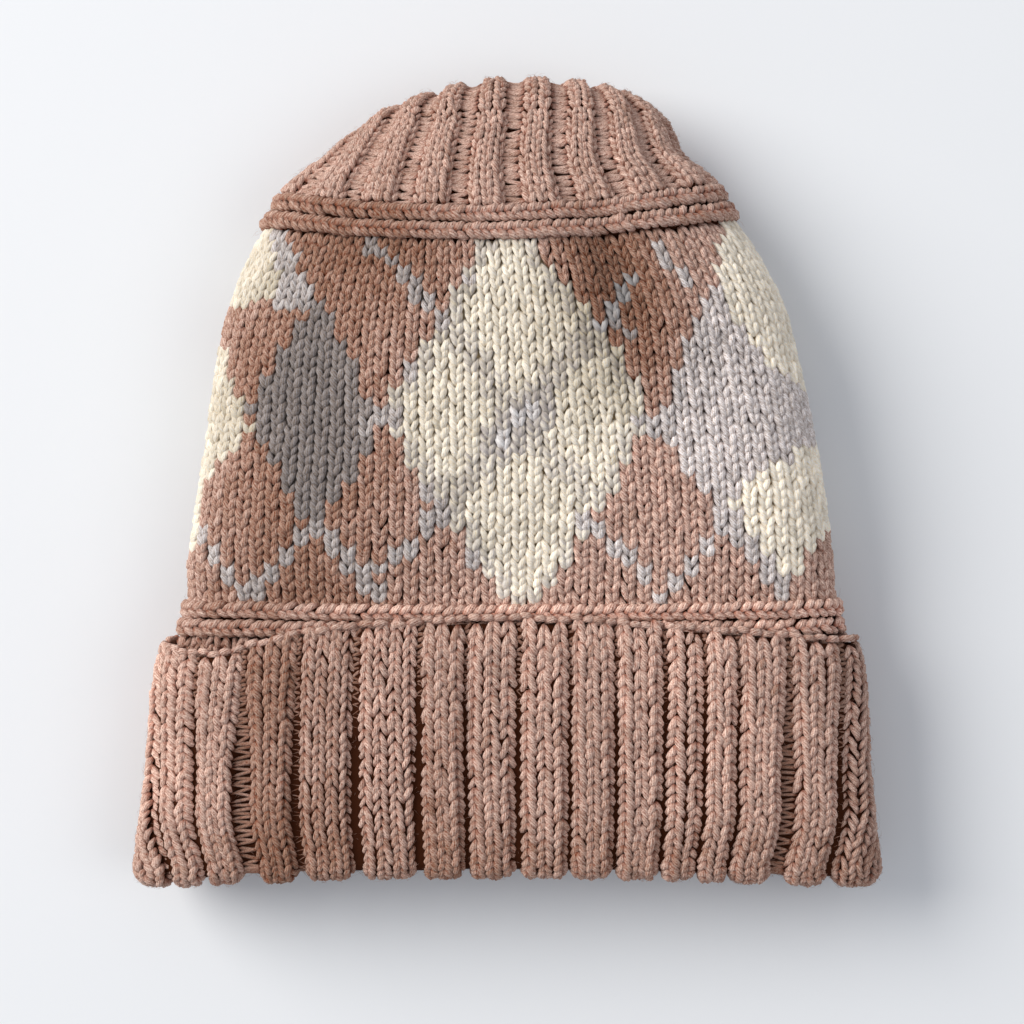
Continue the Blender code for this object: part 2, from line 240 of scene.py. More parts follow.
def cut_up(face):
    """A face as triangles from its first corner. bmesh may list corners in any order, so they are
    counted from the lowest one, and the grain is the same on every run."""
    corners = [v.index for v in face.verts]
    start = corners.index(min(corners))
    first, *others = corners[start:] + corners[:start]
    return [(first, *pair) for pair in zip(others, others[1:])]


def grain(sides, rings):
    """A grain along Z from 0 to 1, as arrays. rings are (share along, girth as a share)."""
    shape = bmesh.new()
    loop = bmesh.ops.create_circle(shape, cap_ends=False, radius=1.0, segments=sides)["verts"]
    bmesh.ops.scale(shape, vec=(rings[0][1], rings[0][1], 1.0), verts=loop)
    bmesh.ops.translate(shape, vec=(0.0, 0.0, rings[0][0]), verts=loop)
    tips = [(loop[:], 0.0)]
    for (low, thin), (high, thick) in zip(rings, rings[1:]):
        edges = {e for v in loop for e in v.link_edges if e.other_vert(v) in loop}
        grown = bmesh.ops.extrude_edge_only(shape, edges=list(edges))["geom"]
        loop = [v for v in grown if isinstance(v, bmesh.types.BMVert)]
        bmesh.ops.scale(shape, vec=(thick / thin, thick / thin, 1.0), verts=loop)
        bmesh.ops.translate(shape, vec=(0.0, 0.0, high - low), verts=loop)
    tips.append((loop, 1.0))
    for ends, place in tips:
        edges = {e for v in ends for e in v.link_edges if e.other_vert(v) in ends}
        grown = bmesh.ops.extrude_edge_only(shape, edges=list(edges))["geom"]
        tip = [v for v in grown if isinstance(v, bmesh.types.BMVert)]
        bmesh.ops.pointmerge(shape, verts=tip, merge_co=(0.0, 0.0, place))
    bmesh.ops.recalc_face_normals(shape, faces=shape.faces)
    shape.verts.index_update()
    points = np.array([v.co[:] for v in shape.verts])
    faces = np.array(sorted(triangle for face in shape.faces for triangle in cut_up(face)))
    shape.free()
    stations, station = np.unique(np.round(points[:, 2], 5), return_inverse=True)
    return Grain(stations, station, points[:, 0], points[:, 1], faces, grain_uv(points, faces))


def grain_uv(points, faces):
    """Girth and length as U and V for each corner. U runs on past 1 where a face spans the seam."""
    turn = np.mod(np.arctan2(points[:, 1], points[:, 0]) / (2 * math.pi), 1.0)[faces]
    tip = np.hypot(points[:, 0], points[:, 1])[faces] < 1e-6
    spread = np.where(tip, np.nan, turn)
    wraps = (np.nanmax(spread, axis=1) - np.nanmin(spread, axis=1) > 0.5)[:, None]
    turn = np.where(wraps & (turn < 0.5), turn + 1.0, turn)
    middle = np.nanmean(np.where(tip, np.nan, turn), axis=1)[:, None]
    return np.stack([np.where(tip, middle, turn), points[faces][..., 2]], axis=2)


# The first is for stitches that face the viewer, the second for those underneath and inside.
FINE_GRAIN = grain(6, ((0.07, 0.58), (0.30, 1.0), (0.62, 1.0), (0.90, 0.60)))
PLAIN_GRAIN = grain(4, ((0.22, 0.95), (0.74, 0.90)))
FIBRE = grain(3, ((0.45, 1.0),))
print("A grain has", len(FINE_GRAIN.faces), "triangles, and a hidden one", len(PLAIN_GRAIN.faces))

# %% Yarn that the table flattens
FLAT_BELOW = 0.0012


def on_table(points):
    """Points near the table are pressed flat against it, and none goes below it."""
    low = points[..., 2] < FLAT_BELOW
    sunk = (points[..., 2][low] - FLAT_BELOW) / FLAT_BELOW
    points[..., 2][low] = FLAT_BELOW * (0.1 + 0.9 * np.exp(sunk))
    return points


print(f"Yarn that lies lower than {FLAT_BELOW * 1000:.1f} mm is pressed flat")

# %% Many grains as one mesh
HEIGHT_STEP = 0.0004
UV_LENGTH = 0.010
HEART_POWER = 2.5


def laid(place, rows, turns, heights):
    """The middle line of each grain, and the way that faces out from the cloth along it."""
    points = place(rows, turns, heights)
    return points, unit(place(rows, turns, heights + HEIGHT_STEP) - points)


def joined(kind, points, fronts, radius, flat, rng):
    """Vertices and UVs of many grains of one kind, each bent along its own middle line."""
    tangent = unit(np.gradient(points, axis=1))
    side = unit(np.cross(fronts, tangent))
    front = np.cross(tangent, side)
    k = kind.station
    out = kind.x[:, None] * side[:, k] + flat * kind.y[:, None] * front[:, k]
    verts = on_table(points[:, k] + out * np.reshape(radius, (-1, 1, 1)))
    length = np.linalg.norm(np.diff(points, axis=1), axis=2).sum(axis=1)
    uv = np.repeat(kind.uv[None], len(points), axis=0)
    uv[..., 1] = uv[..., 1] * (length / UV_LENGTH)[:, None, None] + rng.random((len(points), 1, 1))
    return verts, uv


def yarn_object(name, batches, tint, material):
    """One mesh from batches of grains. Each batch is (kind, verts, uv), and tint has one value,
    or one row of values, for each grain in the same order."""
    verts, faces, uvs, owner, hearts = [], [], [], [], []
    base = grains = 0
    for kind, points, uv in batches:
        count, size = points.shape[:2]
        starts = base + np.arange(count)[:, None, None] * size
        verts.append(points.reshape(-1, 3))
        faces.append((kind.faces[None] + starts).reshape(-1, 3))
        uvs.append(uv.reshape(-1, 2))
        owner.append(np.repeat(grains + np.arange(count), size))
        middle = 1.0 - np.abs(2.0 * kind.stations - 1.0) ** HEART_POWER
        hearts.append(np.tile(middle[kind.station], count))
        base += count * size
        grains += count
    verts, faces = np.concatenate(verts), np.concatenate(faces)
    mesh = bpy.data.meshes.new(name)
    mesh.vertices.add(len(verts))
    mesh.vertices.foreach_set("co", verts.astype(np.float32).ravel())
    mesh.loops.add(faces.size)
    mesh.loops.foreach_set("vertex_index", faces.astype(np.int32).ravel())
    mesh.polygons.add(len(faces))
    mesh.polygons.foreach_set("loop_start", np.arange(0, faces.size, 3, dtype=np.int32))
    mesh.update(calc_edges=True)
    layer = mesh.uv_layers.new(name="yarn")
    layer.data.foreach_set("uv", np.concatenate(uvs).astype(np.float32).ravel())
    for column, values in zip(("tint", "marl"), np.atleast_2d(np.transpose(tint))):
        attribute = mesh.attributes.new(column, "FLOAT", "POINT")
        attribute.data.foreach_set("value", values[np.concatenate(owner)].astype(np.float32))
    attribute = mesh.attributes.new("heart", "FLOAT", "POINT")
    attribute.data.foreach_set("value", np.concatenate(hearts).astype(np.float32))
    mesh.materials.append(material)
    mesh.shade_smooth()
    made = bpy.data.objects.new(name, mesh)
    bpy.context.scene.collection.objects.link(made)
    print(f"{name}: {grains} grains of yarn, {len(faces)} triangles")
    return made


# %% [markdown]
# ## Wool
#
# The yarn is a soft double-knitting wool, spun in several plies, so light catches fine slanting
# strands on each leg. The darker colour between the strands and towards each leg's tips is painted
# shade. Wool has no gloss, so it is rough and hardly reflects. Its glow at grazing angles comes
# from loose fibres, which Blender's sheen stands for. Each leg carries its own tint, because dyed
# wool is never even, and many tints also carry painted light and shade. A darker tint is also a
# richer colour, as on wool that was dyed darker or lies in shade.

# %% Colours and nodes
def srgb(code):
    """A linear colour from an sRGB hex value."""
    parts = [int(code[i : i + 2], 16) / 255 for i in (1, 3, 5)]
    linear = [c / 12.92 if c <= 0.04045 else ((c + 0.055) / 1.055) ** 2.4 for c in parts]
    return (*linear, 1.0)


def add_node(tree, kind, inputs=None, **settings):
    """A node with its settings. An input is a value, or another node's output to link from."""
    node = tree.nodes.new(kind)
    for name, value in settings.items():
        setattr(node, name, value)
    for name, value in (inputs or {}).items():
        if isinstance(value, bpy.types.NodeSocket):
            tree.links.new(value, node.inputs[name])
        else:
            node.inputs[name].default_value = value
    return node


print(f"Mid grey, #808080, is {srgb('#808080')[0]:.3f} in linear light")

# %% Plied wool
# Strands are counted round the yarn, and the slant is strands passed in 10 mm of its length.
PLY_STRANDS = 8.0
PLY_SLANT = 5.5
PLY_DEPTH = 0.10
STREAK_LENGTH = 6.0
STREAK_SCALE = 1.15
MARL_SCALE = 0.45
FIBRE_SIZE = 0.00035
STRAND_RELIEF = 0.00035
WOOL_ROUGHNESS = 0.85
WOOL_SPECULAR = 0.12
WOOL_SHEEN = 0.22
SHEEN_ROUGHNESS = 0.45
DARK_RICHNESS = 1.5


def plied_wool(name, lit, deep, marl, tip_light):
    """Soft plied wool. lit is the strands' colour where the light falls on them, and deep is
    painted
    shade: the colour between the strands and towards a leg's tips. marl is a second colour that is
    spun in where a leg's marl value says so. tip_light says how much of the lit colour is left
    where a leg dives, as a share, and the rest is painted shade."""
    material = bpy.data.materials.new(name)
    material.use_nodes = True
    tree = material.node_tree
    shader = tree.nodes["Principled BSDF"]
    uv = add_node(tree, "ShaderNodeUVMap", uv_map="yarn")
    split = add_node(tree, "ShaderNodeSeparateXYZ", {0: uv.outputs[0]})
    girth, length = split.outputs["X"], split.outputs["Y"]
    slant = add_node(tree, "ShaderNodeMath", {0: length, 1: PLY_SLANT}, operation="MULTIPLY")
    strands = add_node(
        tree,
        "ShaderNodeMath",
        {0: girth, 1: PLY_STRANDS, 2: slant.outputs[0]},
        operation="MULTIPLY_ADD",
    )
    streak = add_node(tree, "ShaderNodeMath", {0: length, 1: STREAK_LENGTH}, operation="MULTIPLY")
    along_strands = add_node(
        tree, "ShaderNodeCombineXYZ", {"X": strands.outputs[0], "Y": streak.outputs[0]}
    )
    streaks = add_node(
        tree,
        "ShaderNodeTexNoise",
        {
            "Vector": along_strands.outputs[0],
            "Scale": STREAK_SCALE,
            "Detail": 3.0,
            "Roughness": 0.65,
        },
    )
    cycle = add_node(
        tree, "ShaderNodeMath", {0: strands.outputs[0], 1: 2 * math.pi}, operation="MULTIPLY"
    )
    wave = add_node(tree, "ShaderNodeMath", {0: cycle.outputs[0]}, operation="SINE")
    place = add_node(tree, "ShaderNodeTexCoord")
    fibres = add_node(
        tree,
        "ShaderNodeTexNoise",
        {"Vector": place.outputs["Object"], "Scale": 1.0 / FIBRE_SIZE, "Detail": 3.0},
    )
    rough = add_node(
        tree,
        "ShaderNodeMath",
        {0: streaks.outputs["Fac"], 1: 1.1, 2: fibres.outputs["Fac"]},
        operation="MULTIPLY_ADD",
    )
    relief = add_node(
        tree,
        "ShaderNodeMath",
        {0: wave.outputs[0], 1: PLY_DEPTH, 2: rough.outputs[0]},
        operation="MULTIPLY_ADD",
    )
    height = add_node(
        tree,
        "ShaderNodeMapRange",
        {"Value": relief.outputs[0], "From Min": 0.62, "From Max": 1.38},
    )
    # Painted shade: each leg is darker towards its tips, where it dives under its neighbours.
    heart = add_node(tree, "ShaderNodeAttribute", attribute_name="heart")
    shade = add_node(
        tree, "ShaderNodeMapRange", {"Value": heart.outputs["Fac"], "To Min": tip_light}
    )
    light = add_node(
        tree,
        "ShaderNodeMath",
        {0: height.outputs[0], 1: shade.outputs[0]},
        operation="MULTIPLY",
    )
    # The strands' colour, with painted shade in the grooves between strands and at the tips.
    strand = add_node(
        tree,
        "ShaderNodeMix",
        {0: light.outputs[0], 6: srgb(deep), 7: srgb(lit)},
        data_type="RGBA",
    )
    spun = add_node(tree, "ShaderNodeAttribute", attribute_name="marl")
    patches = add_node(
        tree,
        "ShaderNodeTexNoise",
        {"Vector": along_strands.outputs[0], "Scale": MARL_SCALE, "Detail": 3.0},
    )
    over = add_node(
        tree,
        "ShaderNodeMath",
        {0: spun.outputs["Fac"], 1: patches.outputs["Fac"]},
        operation="SUBTRACT",
    )
    speckle = add_node(
        tree,
        "ShaderNodeMapRange",
        {"Value": over.outputs[0], "From Min": -0.20, "From Max": 0.16},
    )
    marled = add_node(
        tree,
        "ShaderNodeMix",
        {0: speckle.outputs[0], 6: strand.outputs[2], 7: srgb(marl)},
        data_type="RGBA",
    )
    tint = add_node(tree, "ShaderNodeAttribute", attribute_name="tint")
    # The tint carries random dye and painted light and shade, and a darker tint is made a richer
    # colour too.
    richness = add_node(
        tree,
        "ShaderNodeMapRange",
        {"Value": tint.outputs["Fac"], "From Min": 0.5, "To Min": DARK_RICHNESS, "To Max": 1.06},
    )
    toned = add_node(
        tree,
        "ShaderNodeHueSaturation",
        {
            "Color": marled.outputs[2],
            "Saturation": richness.outputs[0],
            "Value": tint.outputs["Fac"],
        },
    )
    tree.links.new(toned.outputs[0], shader.inputs["Base Color"])
    bump = add_node(
        tree,
        "ShaderNodeBump",
        {"Height": height.outputs[0], "Strength": 0.8, "Distance": STRAND_RELIEF},
    )
    tree.links.new(bump.outputs[0], shader.inputs["Normal"])
    shader.inputs["Roughness"].default_value = WOOL_ROUGHNESS
    shader.inputs["Sheen Weight"].default_value = WOOL_SHEEN
    shader.inputs["Sheen Roughness"].default_value = SHEEN_ROUGHNESS
    shader.inputs["Sheen Tint"].default_value = srgb(lit)
    shader.inputs["Specular IOR Level"].default_value = WOOL_SPECULAR
    return material


print(f"{PLY_STRANDS:.0f} strands go round the yarn, with fibres {FIBRE_SIZE * 1000:.2f} mm apart")

# %% The three yarns, and the shadowed yarn behind them
# Each yarn's lit colour, its painted shade between the strands, its marl colour and its tip share.
rose_wool = plied_wool("rose_beige_plied_wool", "#F4DBCC", "#7A2F0C", "#E0D2C8", 0.05)
cream_wool = plied_wool("cream_undyed_plied_wool", "#FCF8F1", "#EAD7B8", "#B8B0AE", 0.80)
grey_wool = plied_wool("grey_marl_plied_wool", "#EEE9EA", "#94806F", "#F8F5F4", 0.30)


LUMP_SIZE = 1 / 700


def backing_wool(name):
    """The backs of the loops, which show only as the dark in the gaps. Its colour is painted shade,
    darker than the yarn, and comes from an attribute, because each section's gaps have their own."""
    material = bpy.data.materials.new(name)
    material.use_nodes = True
    tree = material.node_tree
    shader = tree.nodes["Principled BSDF"]
    colour = add_node(tree, "ShaderNodeAttribute", attribute_name="gap_shade_colour")
    tree.links.new(colour.outputs["Color"], shader.inputs["Base Color"])
    place = add_node(tree, "ShaderNodeTexCoord")
    lumps = add_node(
        tree, "ShaderNodeTexNoise", {"Vector": place.outputs["Object"], "Scale": 1 / LUMP_SIZE}
    )
    bump = add_node(
        tree,
        "ShaderNodeBump",
        {"Height": lumps.outputs["Fac"], "Strength": 0.6, "Distance": 0.0006},
    )
    tree.links.new(bump.outputs[0], shader.inputs["Normal"])
    shader.inputs["Roughness"].default_value = 0.95
    shader.inputs["Specular IOR Level"].default_value = 0.1
    return material


backing = backing_wool("shaded_wool_backs")
print("Yarns:", ", ".join(m.name for m in bpy.data.materials if "plied" in m.name))

# %% [markdown]
# ## The pattern chart
#
# The body is knitted from a chart, as colourwork always is: one square is one stitch. The diamonds
# are argyle, a traditional pattern. u counts stitches to the right of the hat's middle line, and v
# counts rows up from the lower welt. A shape is given by its corners, and later shapes lie on top.
# The lines are the fine ones that cross the diamonds and link them. A fade makes the wool darker
# or lighter round a place. It is painted shade where folds, dents and the upper welt shade the
# body, and painted light where more light falls.

# %% The shapes on the chart
COLUMNS = 90
BODY_ROWS = 39
ROSE, CREAM, GREY = 0, 1, 2
Shape = namedtuple("Shape", "yarn marl tone corners")
Line = namedtuple("Line", "yarn marl tone width start end")
Fade = namedtuple("Fade", "u v u_width v_width tone")
SHAPES = (
    Shape(CREAM, 0.0, 1.00, ((-0.9, 39.5), (1.6, 39.5), (6.4, 30.4), (8.6, 22.6), (8.8, 20.0),
                             (6.6, 13.2), (1.2, -0.6), (0.3, -0.6), (-5.8, 13.0), (-8.0, 21.3))),
    Shape(GREY, 0.20, 0.70, ((-13.0, 31.8), (-14.2, 31.2), (-17.6, 20.5), (-13.2, 8.0),
                             (-12.4, 8.0), (-8.8, 18.4), (-9.8, 24.0))),
    Shape(GREY, 0.15, 1.16, ((14.8, 32.8), (15.5, 32.6), (19.8, 22.0), (18.6, 17.0), (14.4, 9.0),
                             (13.5, 9.0), (9.9, 18.8), (12.2, 27.8))),
    Shape(GREY, 0.10, 1.08, ((18.0, 25.2), (25.0, 22.6), (25.0, 17.4), (16.4, 14.4), (14.0, 20.0))),
    Shape(CREAM, 0.0, 1.04, ((19.2, 39.5), (15.4, 33.0), (16.4, 29.6), (18.2, 25.2), (20.5, 22.6),
                             (26.0, 22.0), (26.0, 39.5))),
    Shape(CREAM, 0.0, 1.04, ((26.0, 17.6), (17.0, 15.0), (14.6, 12.0), (14.4, 10.0), (15.0, 7.0),
                             (19.2, -0.6), (20.5, 1.0), (22.5, 8.0), (26.0, 12.0))),
    Shape(GREY, 0.35, 1.10, ((-20.5, 39.5), (-18.6, 39.5), (-14.4, 33.6), (-13.9, 31.2),
                             (-16.5, 31.4))),
    Shape(CREAM, 0.08, 1.0, ((-26.0, 39.5), (-20.5, 39.5), (-16.4, 34.0), (-17.0, 31.6),
                             (-26.0, 31.2))),
    Shape(CREAM, 0.08, 1.0, ((-26.0, 27.5), (-20.8, 27.2), (-17.8, 20.8), (-17.4, 17.8),
                             (-20.6, 13.0), (-26.0, 12.0))),
    Shape(CREAM, 0.15, 1.0, ((-26.0, 13.5), (-20.6, 13.5), (-21.4, 5.0), (-26.0, 4.0))),
)
print(len(SHAPES), "shapes on a chart of", COLUMNS, "columns and", BODY_ROWS, "rows")

# %% The lines, and the fades of painted shade and light, on the chart
LINES = (
    Line(CREAM, 0.45, 0.97, 0.50, (-7.9, 20.8), (-0.9, 38.6)),
    Line(CREAM, 0.42, 0.97, 0.45, (8.2, 23.0), (2.2, 38.0)),
    Line(CREAM, 0.45, 0.97, 0.50, (-7.6, 19.6), (0.4, 0.0)),
    Line(CREAM, 0.42, 0.97, 0.45, (8.3, 18.4), (1.6, 0.6)),
    Line(GREY, 0.32, 1.02, 0.45, (-3.0, 34.9), (-2.7, 34.2)),
    Line(GREY, 0.30, 0.92, 0.40, (-4.7, 30.6), (-4.5, 29.9)),
    Line(GREY, 0.30, 0.92, 0.40, (-6.6, 25.4), (-6.4, 24.6)),
    Line(GREY, 0.28, 0.92, 0.45, (-5.5, 12.6), (-4.1, 8.8)),
    Line(GREY, 0.28, 0.92, 0.42, (-2.8, 5.9), (-2.0, 4.2)),
    Line(GREY, 0.32, 1.02, 0.42, (5.4, 10.6), (3.9, 7.8)),
    Line(GREY, 0.32, 1.02, 0.45, (8.2, 28.6), (7.4, 30.6)),
    Line(GREY, 0.32, 1.02, 0.55, (-9.6, 19.3), (-7.8, 20.2)),
    Line(GREY, 0.32, 1.03, 0.70, (9.0, 19.4), (10.0, 18.8)),
    Line(CREAM, 0.45, 0.95, 0.85, (-3.6, 29.4), (0.0, 21.6)),
    Line(CREAM, 0.46, 0.95, 0.95, (5.2, 28.0), (1.4, 21.6)),
    Line(CREAM, 0.46, 0.94, 0.85, (-0.9, 16.2), (-3.8, 11.4)),
    Line(CREAM, 0.42, 0.97, 0.80, (2.0, 16.6), (5.4, 11.6)),
    Line(CREAM, 0.56, 0.90, 1.30, (-0.6, 17.8), (2.2, 21.4)),
    Line(GREY, 0.48, 0.98, 0.60, (0.2, 19.4), (1.8, 21.6)),
    Line(GREY, 0.50, 0.98, 0.42, (-0.7, 17.6), (-0.2, 18.4)),
    Line(GREY, 0.30, 1.06, 0.42, (-20.8, 7.2), (-17.2, 0.6)),
    Line(GREY, 0.30, 1.06, 0.42, (-17.0, 0.6), (-12.8, 8.4)),
    Line(GREY, 0.30, 1.06, 0.42, (-12.3, 8.0), (-8.4, 0.4)),
    Line(GREY, 0.32, 1.03, 0.42, (-8.2, 3.4), (-5.8, 7.6)),
    Line(GREY, 0.28, 0.92, 0.45, (-5.8, 7.6), (-5.0, 10.4)),
    Line(GREY, 0.30, 1.06, 0.42, (5.5, 8.0), (8.8, 2.8)),
    Line(GREY, 0.30, 1.06, 0.42, (13.5, 8.0), (9.6, 0.2)),
    Line(GREY, 0.28, 0.98, 0.56, (14.2, 8.6), (17.8, 0.8)),
    Line(GREY, 0.30, 1.06, 0.42, (-10.4, 38.2), (-8.0, 36.2)),
    Line(GREY, 0.28, 1.04, 0.44, (-8.0, 36.2), (-5.4, 31.6)),
    Line(GREY, 0.28, 1.04, 0.42, (12.4, 37.0), (13.4, 33.6)),
    Line(GREY, 0.55, 0.95, 0.38, (9.3, 34.8), (6.8, 29.8)),
)
# Painted shade and painted light: a place on the chart, its widths, and how much darker or lighter.
PAINTED_SHADING = (
    Fade(-13.6, 18.0, 5.6, 34.0, -0.42),
    Fade(-10.0, 39.0, 5.0, 3.6, -0.34),
    Fade(8.2, 33.0, 4.6, 11.0, -0.63),
    Fade(-6.5, 35.5, 4.0, 5.0, -0.24),
    Fade(12.5, 18.0, 7.5, 18.0, 0.20),
    Fade(4.0, 2.0, 9.0, 6.0, 0.12),
    Fade(22.0, 12.0, 8.0, 20.0, 0.10),
)
print(len(LINES), "lines and", len(PAINTED_SHADING), "fades")

# %% Reading the chart
def inside(u, v, corners):
    """Whether each stitch lies in a convex shape, whichever way round its corners are given."""
    sides = []
    for (u0, v0), (u1, v1) in zip(corners, corners[1:] + corners[:1]):
        sides.append((u1 - u0) * (v - v0) - (v1 - v0) * (u - u0))
    sides = np.array(sides)
    return np.all(sides >= 0, axis=0) | np.all(sides <= 0, axis=0)


ROW_IN_STITCHES = 0.58


def near_line(u, v, line):
    """Whether each stitch lies within the line's width. A row is lower than a stitch is wide."""
    start, end = np.array(line.start), np.array(line.end)
    here = np.stack([u - start[0], (v - start[1]) * ROW_IN_STITCHES], axis=-1)
    way = (end - start) * np.array([1.0, ROW_IN_STITCHES])
    t = np.clip((here @ way) / (way @ way), 0.0, 1.0)
    return np.linalg.norm(here - t[..., None] * way, axis=-1) < line.width


def charted(columns, rows):
    """The yarn of each stitch, how much of a second colour is spun into it, and its tone, which
    also carries painted shade and light. The back of the hat repeats the front, mirrored at the two
    sides."""
    u = (COLUMNS - 1) / 2 - columns
    half = COLUMNS / 2
    u = np.where(u > half / 2, half - u, np.where(u < -half / 2, -half - u, u))
    v = rows + 0.5
    yarn = np.zeros(u.shape, int)
    marl = np.zeros(u.shape)
    tone = np.ones(u.shape)
    for shape in SHAPES:
        here = inside(u, v, shape.corners)
        yarn[here] = shape.yarn
        marl[here] = shape.marl
        tone[here] = shape.tone
    for line in LINES:
        here = near_line(u, v, line)
        yarn[here] = line.yarn
        marl[here] = line.marl
        tone[here] = line.tone
    # Painted shade and painted light round each fade's place.
    for fade in PAINTED_SHADING:
        near = ((u - fade.u) / fade.u_width) ** 2 + ((v - fade.v) / fade.v_width) ** 2
        tone = tone * (1.0 + fade.tone * np.exp(-near))
    return yarn, marl, tone


chart_columns, chart_rows = np.meshgrid(np.arange(COLUMNS), np.arange(-1, BODY_ROWS))
chart_yarns, _, _ = charted(chart_columns, chart_rows)
print("Stitches of rose, cream and grey:", [int((chart_yarns == y).sum()) for y in range(3)])

# %% [markdown]
# ## Stitches
#
# A leg starts low and near the middle of its column and ends higher and further out, where it
# dives under the row above. Hand knitting is uneven, so columns wander a little and no two legs
# are quite alike. The wander is a sum of slow waves, which neighbours share, and the rest is a
# small random change for each leg. Where a ring of the hat is narrow, the yarn is squeezed too,
# so its radius is never more than a share of a stitch's width.

# %% Laying legs in columns
YARN_RADIUS = 0.00107
YARN_GIRTH = 0.240
LEG_NEAR = 0.03
LEG_FAR = 0.46
LEG_LOW = -0.42
LEG_HIGH = 1.48
LEG_RISE = ((0.0, -0.45), (0.30, 0.36), (0.66, 0.26), (1.0, -1.0))
COLUMN_WANDER = 0.0014
COLUMN_SHIFT = 0.12
ROW_WANDER = 0.18
Unevenness = namedtuple("Unevenness", "spread place row rise girth tint patch")
UNEVEN = Unevenness(0.08, 0.035, 0.09, 0.12, 0.09, 0.085, 0.05)
rng = np.random.default_rng(7)


print(f"A leg reaches over {LEG_HIGH - LEG_LOW:.1f} rows")


def slow_waves(x, y, seed, count=7):
    """A smooth wandering value between about -1 and 1."""
    waves = np.random.default_rng(seed)
    total = np.zeros(np.broadcast(x, y).shape)
    for _ in range(count):
        kx, ky = waves.normal(0.0, 1.0, 2)
        total = total + np.sin(kx * x + ky * y + waves.uniform(0, 2 * math.pi))
    return total / math.sqrt(count)


def v_legs(kind, place, turns, widths, rows, radius, seed):
    """Both legs of each stitch. turns and rows say where a stitch is, and widths how wide it is, as
    a share of a turn. radius is the yarn's, in metres, for each stitch."""
    count = len(turns)
    side = np.tile([-1.0, 1.0], count)[:, None]
    turns, widths, rows, radius = (np.repeat(a, 2)[:, None] for a in (turns, widths, rows, radius))
    s = kind.stations[None, :]
    ease = 0.5 * s + 0.5 * s * s * (3 - 2 * s)
    across = LEG_NEAR + (LEG_FAR - LEG_NEAR) * ease
    spread = 1.0 + rng.normal(0.0, UNEVEN.spread, side.shape)
    off_place = widths * rng.normal(0.0, UNEVEN.place, side.shape)
    at_turn = turns + side * across * widths * spread + off_place
    at_turn = at_turn + COLUMN_WANDER * slow_waves(turns * 24.0, rows * 0.14, seed)
    at_row = rows + LEG_LOW + (LEG_HIGH - LEG_LOW) * s + rng.normal(0.0, UNEVEN.row, side.shape)
    at_row = at_row + ROW_WANDER * slow_waves(turns * 40.0, rows * 0.2, seed + 1)
    rise = np.interp(s, *zip(*LEG_RISE)) + rng.normal(0.0, UNEVEN.rise, side.shape)
    points, fronts = laid(place, at_row, at_turn, radius * rise)
    girth = radius[:, 0] * (1.0 + rng.normal(0.0, UNEVEN.girth, 2 * count))
    return joined(kind, points, fronts, girth, 0.95, rng)


# %% The tint of each leg, and what each piece rides on
def tints(count, turns, rows, seed):
    """A brightness for each leg, with slow patches over the cloth."""
    patches = slow_waves(turns * 25.0, rows * 0.25, seed)
    return 1.0 + UNEVEN.patch * patches + rng.normal(0.0, UNEVEN.tint, count)


def toned_legs(kind, place, turns, widths, rows, radius, seeds, tone=1.0, marl=0.0, shift=0.0):
    """A batch of legs, and the tint and marl of each. tone, marl and shift, which is in rows, are
    one value, or one for each stitch."""
    count = len(turns)
    verts, uv = v_legs(kind, place, turns, widths, rows + shift, radius, seeds[0])
    tint = tints(2 * count, np.repeat(turns, 2), np.repeat(rows, 2), seeds[1])
    tone, marl = (np.repeat(np.broadcast_to(value, count), 2) for value in (tone, marl))
    return (kind, verts, uv), np.stack([tint * tone, marl], axis=1)


def rides(made, slot, *nodes):
    """Every piece rides on the one body and may stand for a measured node. slot is not used."""
    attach(made, "root")
    if nodes:
        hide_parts(*nodes)


print(f"Tints differ by about {UNEVEN.tint:.0%} from leg to leg")

# %% The body's stitches
SURFACE_YARN = -0.0007


def on_body(row, turn, height):
    along = LOWER_WELT_END + BODY_LENGTH * row / BODY_ROWS
    return on_hat(along, turn, height + SURFACE_YARN)


def upper_side(columns, count):
    """Whether a column lies on the half of the hat that faces up."""
    return np.abs(np.mod((columns + 0.5) / count, 1.0) - 0.5) < 0.27


columns = chart_columns.ravel().astype(float)
rows = chart_rows.ravel().astype(float)
yarns, marls, tones = charted(columns, rows)
ring_at = np.interp((LOWER_WELT_END + BODY_LENGTH * rows / BODY_ROWS) / HAT_LENGTH,
                    grid_shares, ring_lengths)
body_radius = np.minimum(YARN_RADIUS, YARN_GIRTH * ring_at / COLUMNS)
column_start = rng.normal(0.0, COLUMN_SHIFT, COLUMNS)
for yarn, label, wool, slot in (
    (ROSE, "body_rose_stitches", rose_wool, "rose_wool"),
    (CREAM, "body_cream_stitches", cream_wool, "cream_wool"),
    (GREY, "body_grey_stitches", grey_wool, "grey_wool"),
):
    batches, values = [], []
    for kind, top in ((FINE_GRAIN, True), (PLAIN_GRAIN, False)):
        here = (yarns == yarn) & (upper_side(columns, COLUMNS) == top)
        turns = (columns[here] + 0.5) / COLUMNS
        widths = np.full(here.sum(), 1.0 / COLUMNS)
        shift = column_start[columns[here].astype(int)]
        batch, value = toned_legs(kind, on_body, turns, widths, rows[here], body_radius[here],
                                  (11, 21), tones[here], marls[here], shift)
        batches.append(batch)
        values.append(value)
    rides(yarn_object(label, batches, np.concatenate(values), wool), slot)

# %% [markdown]
# ## The backs of the loops
#
# Behind the legs lie the heads of the loops, in deep shade. They show only as dark gaps, so a
# plain shell just under the legs stands for them, and its colour is painted shade, darker than the
# yarn. It is lofted through rings of the same surface, down the right side and back up the wrong
# side, and closed into a tube of cloth.

# %% Lofting a shell
BODY_BACKING = 0.0011
BODY_BACKING_WALL = 0.0014
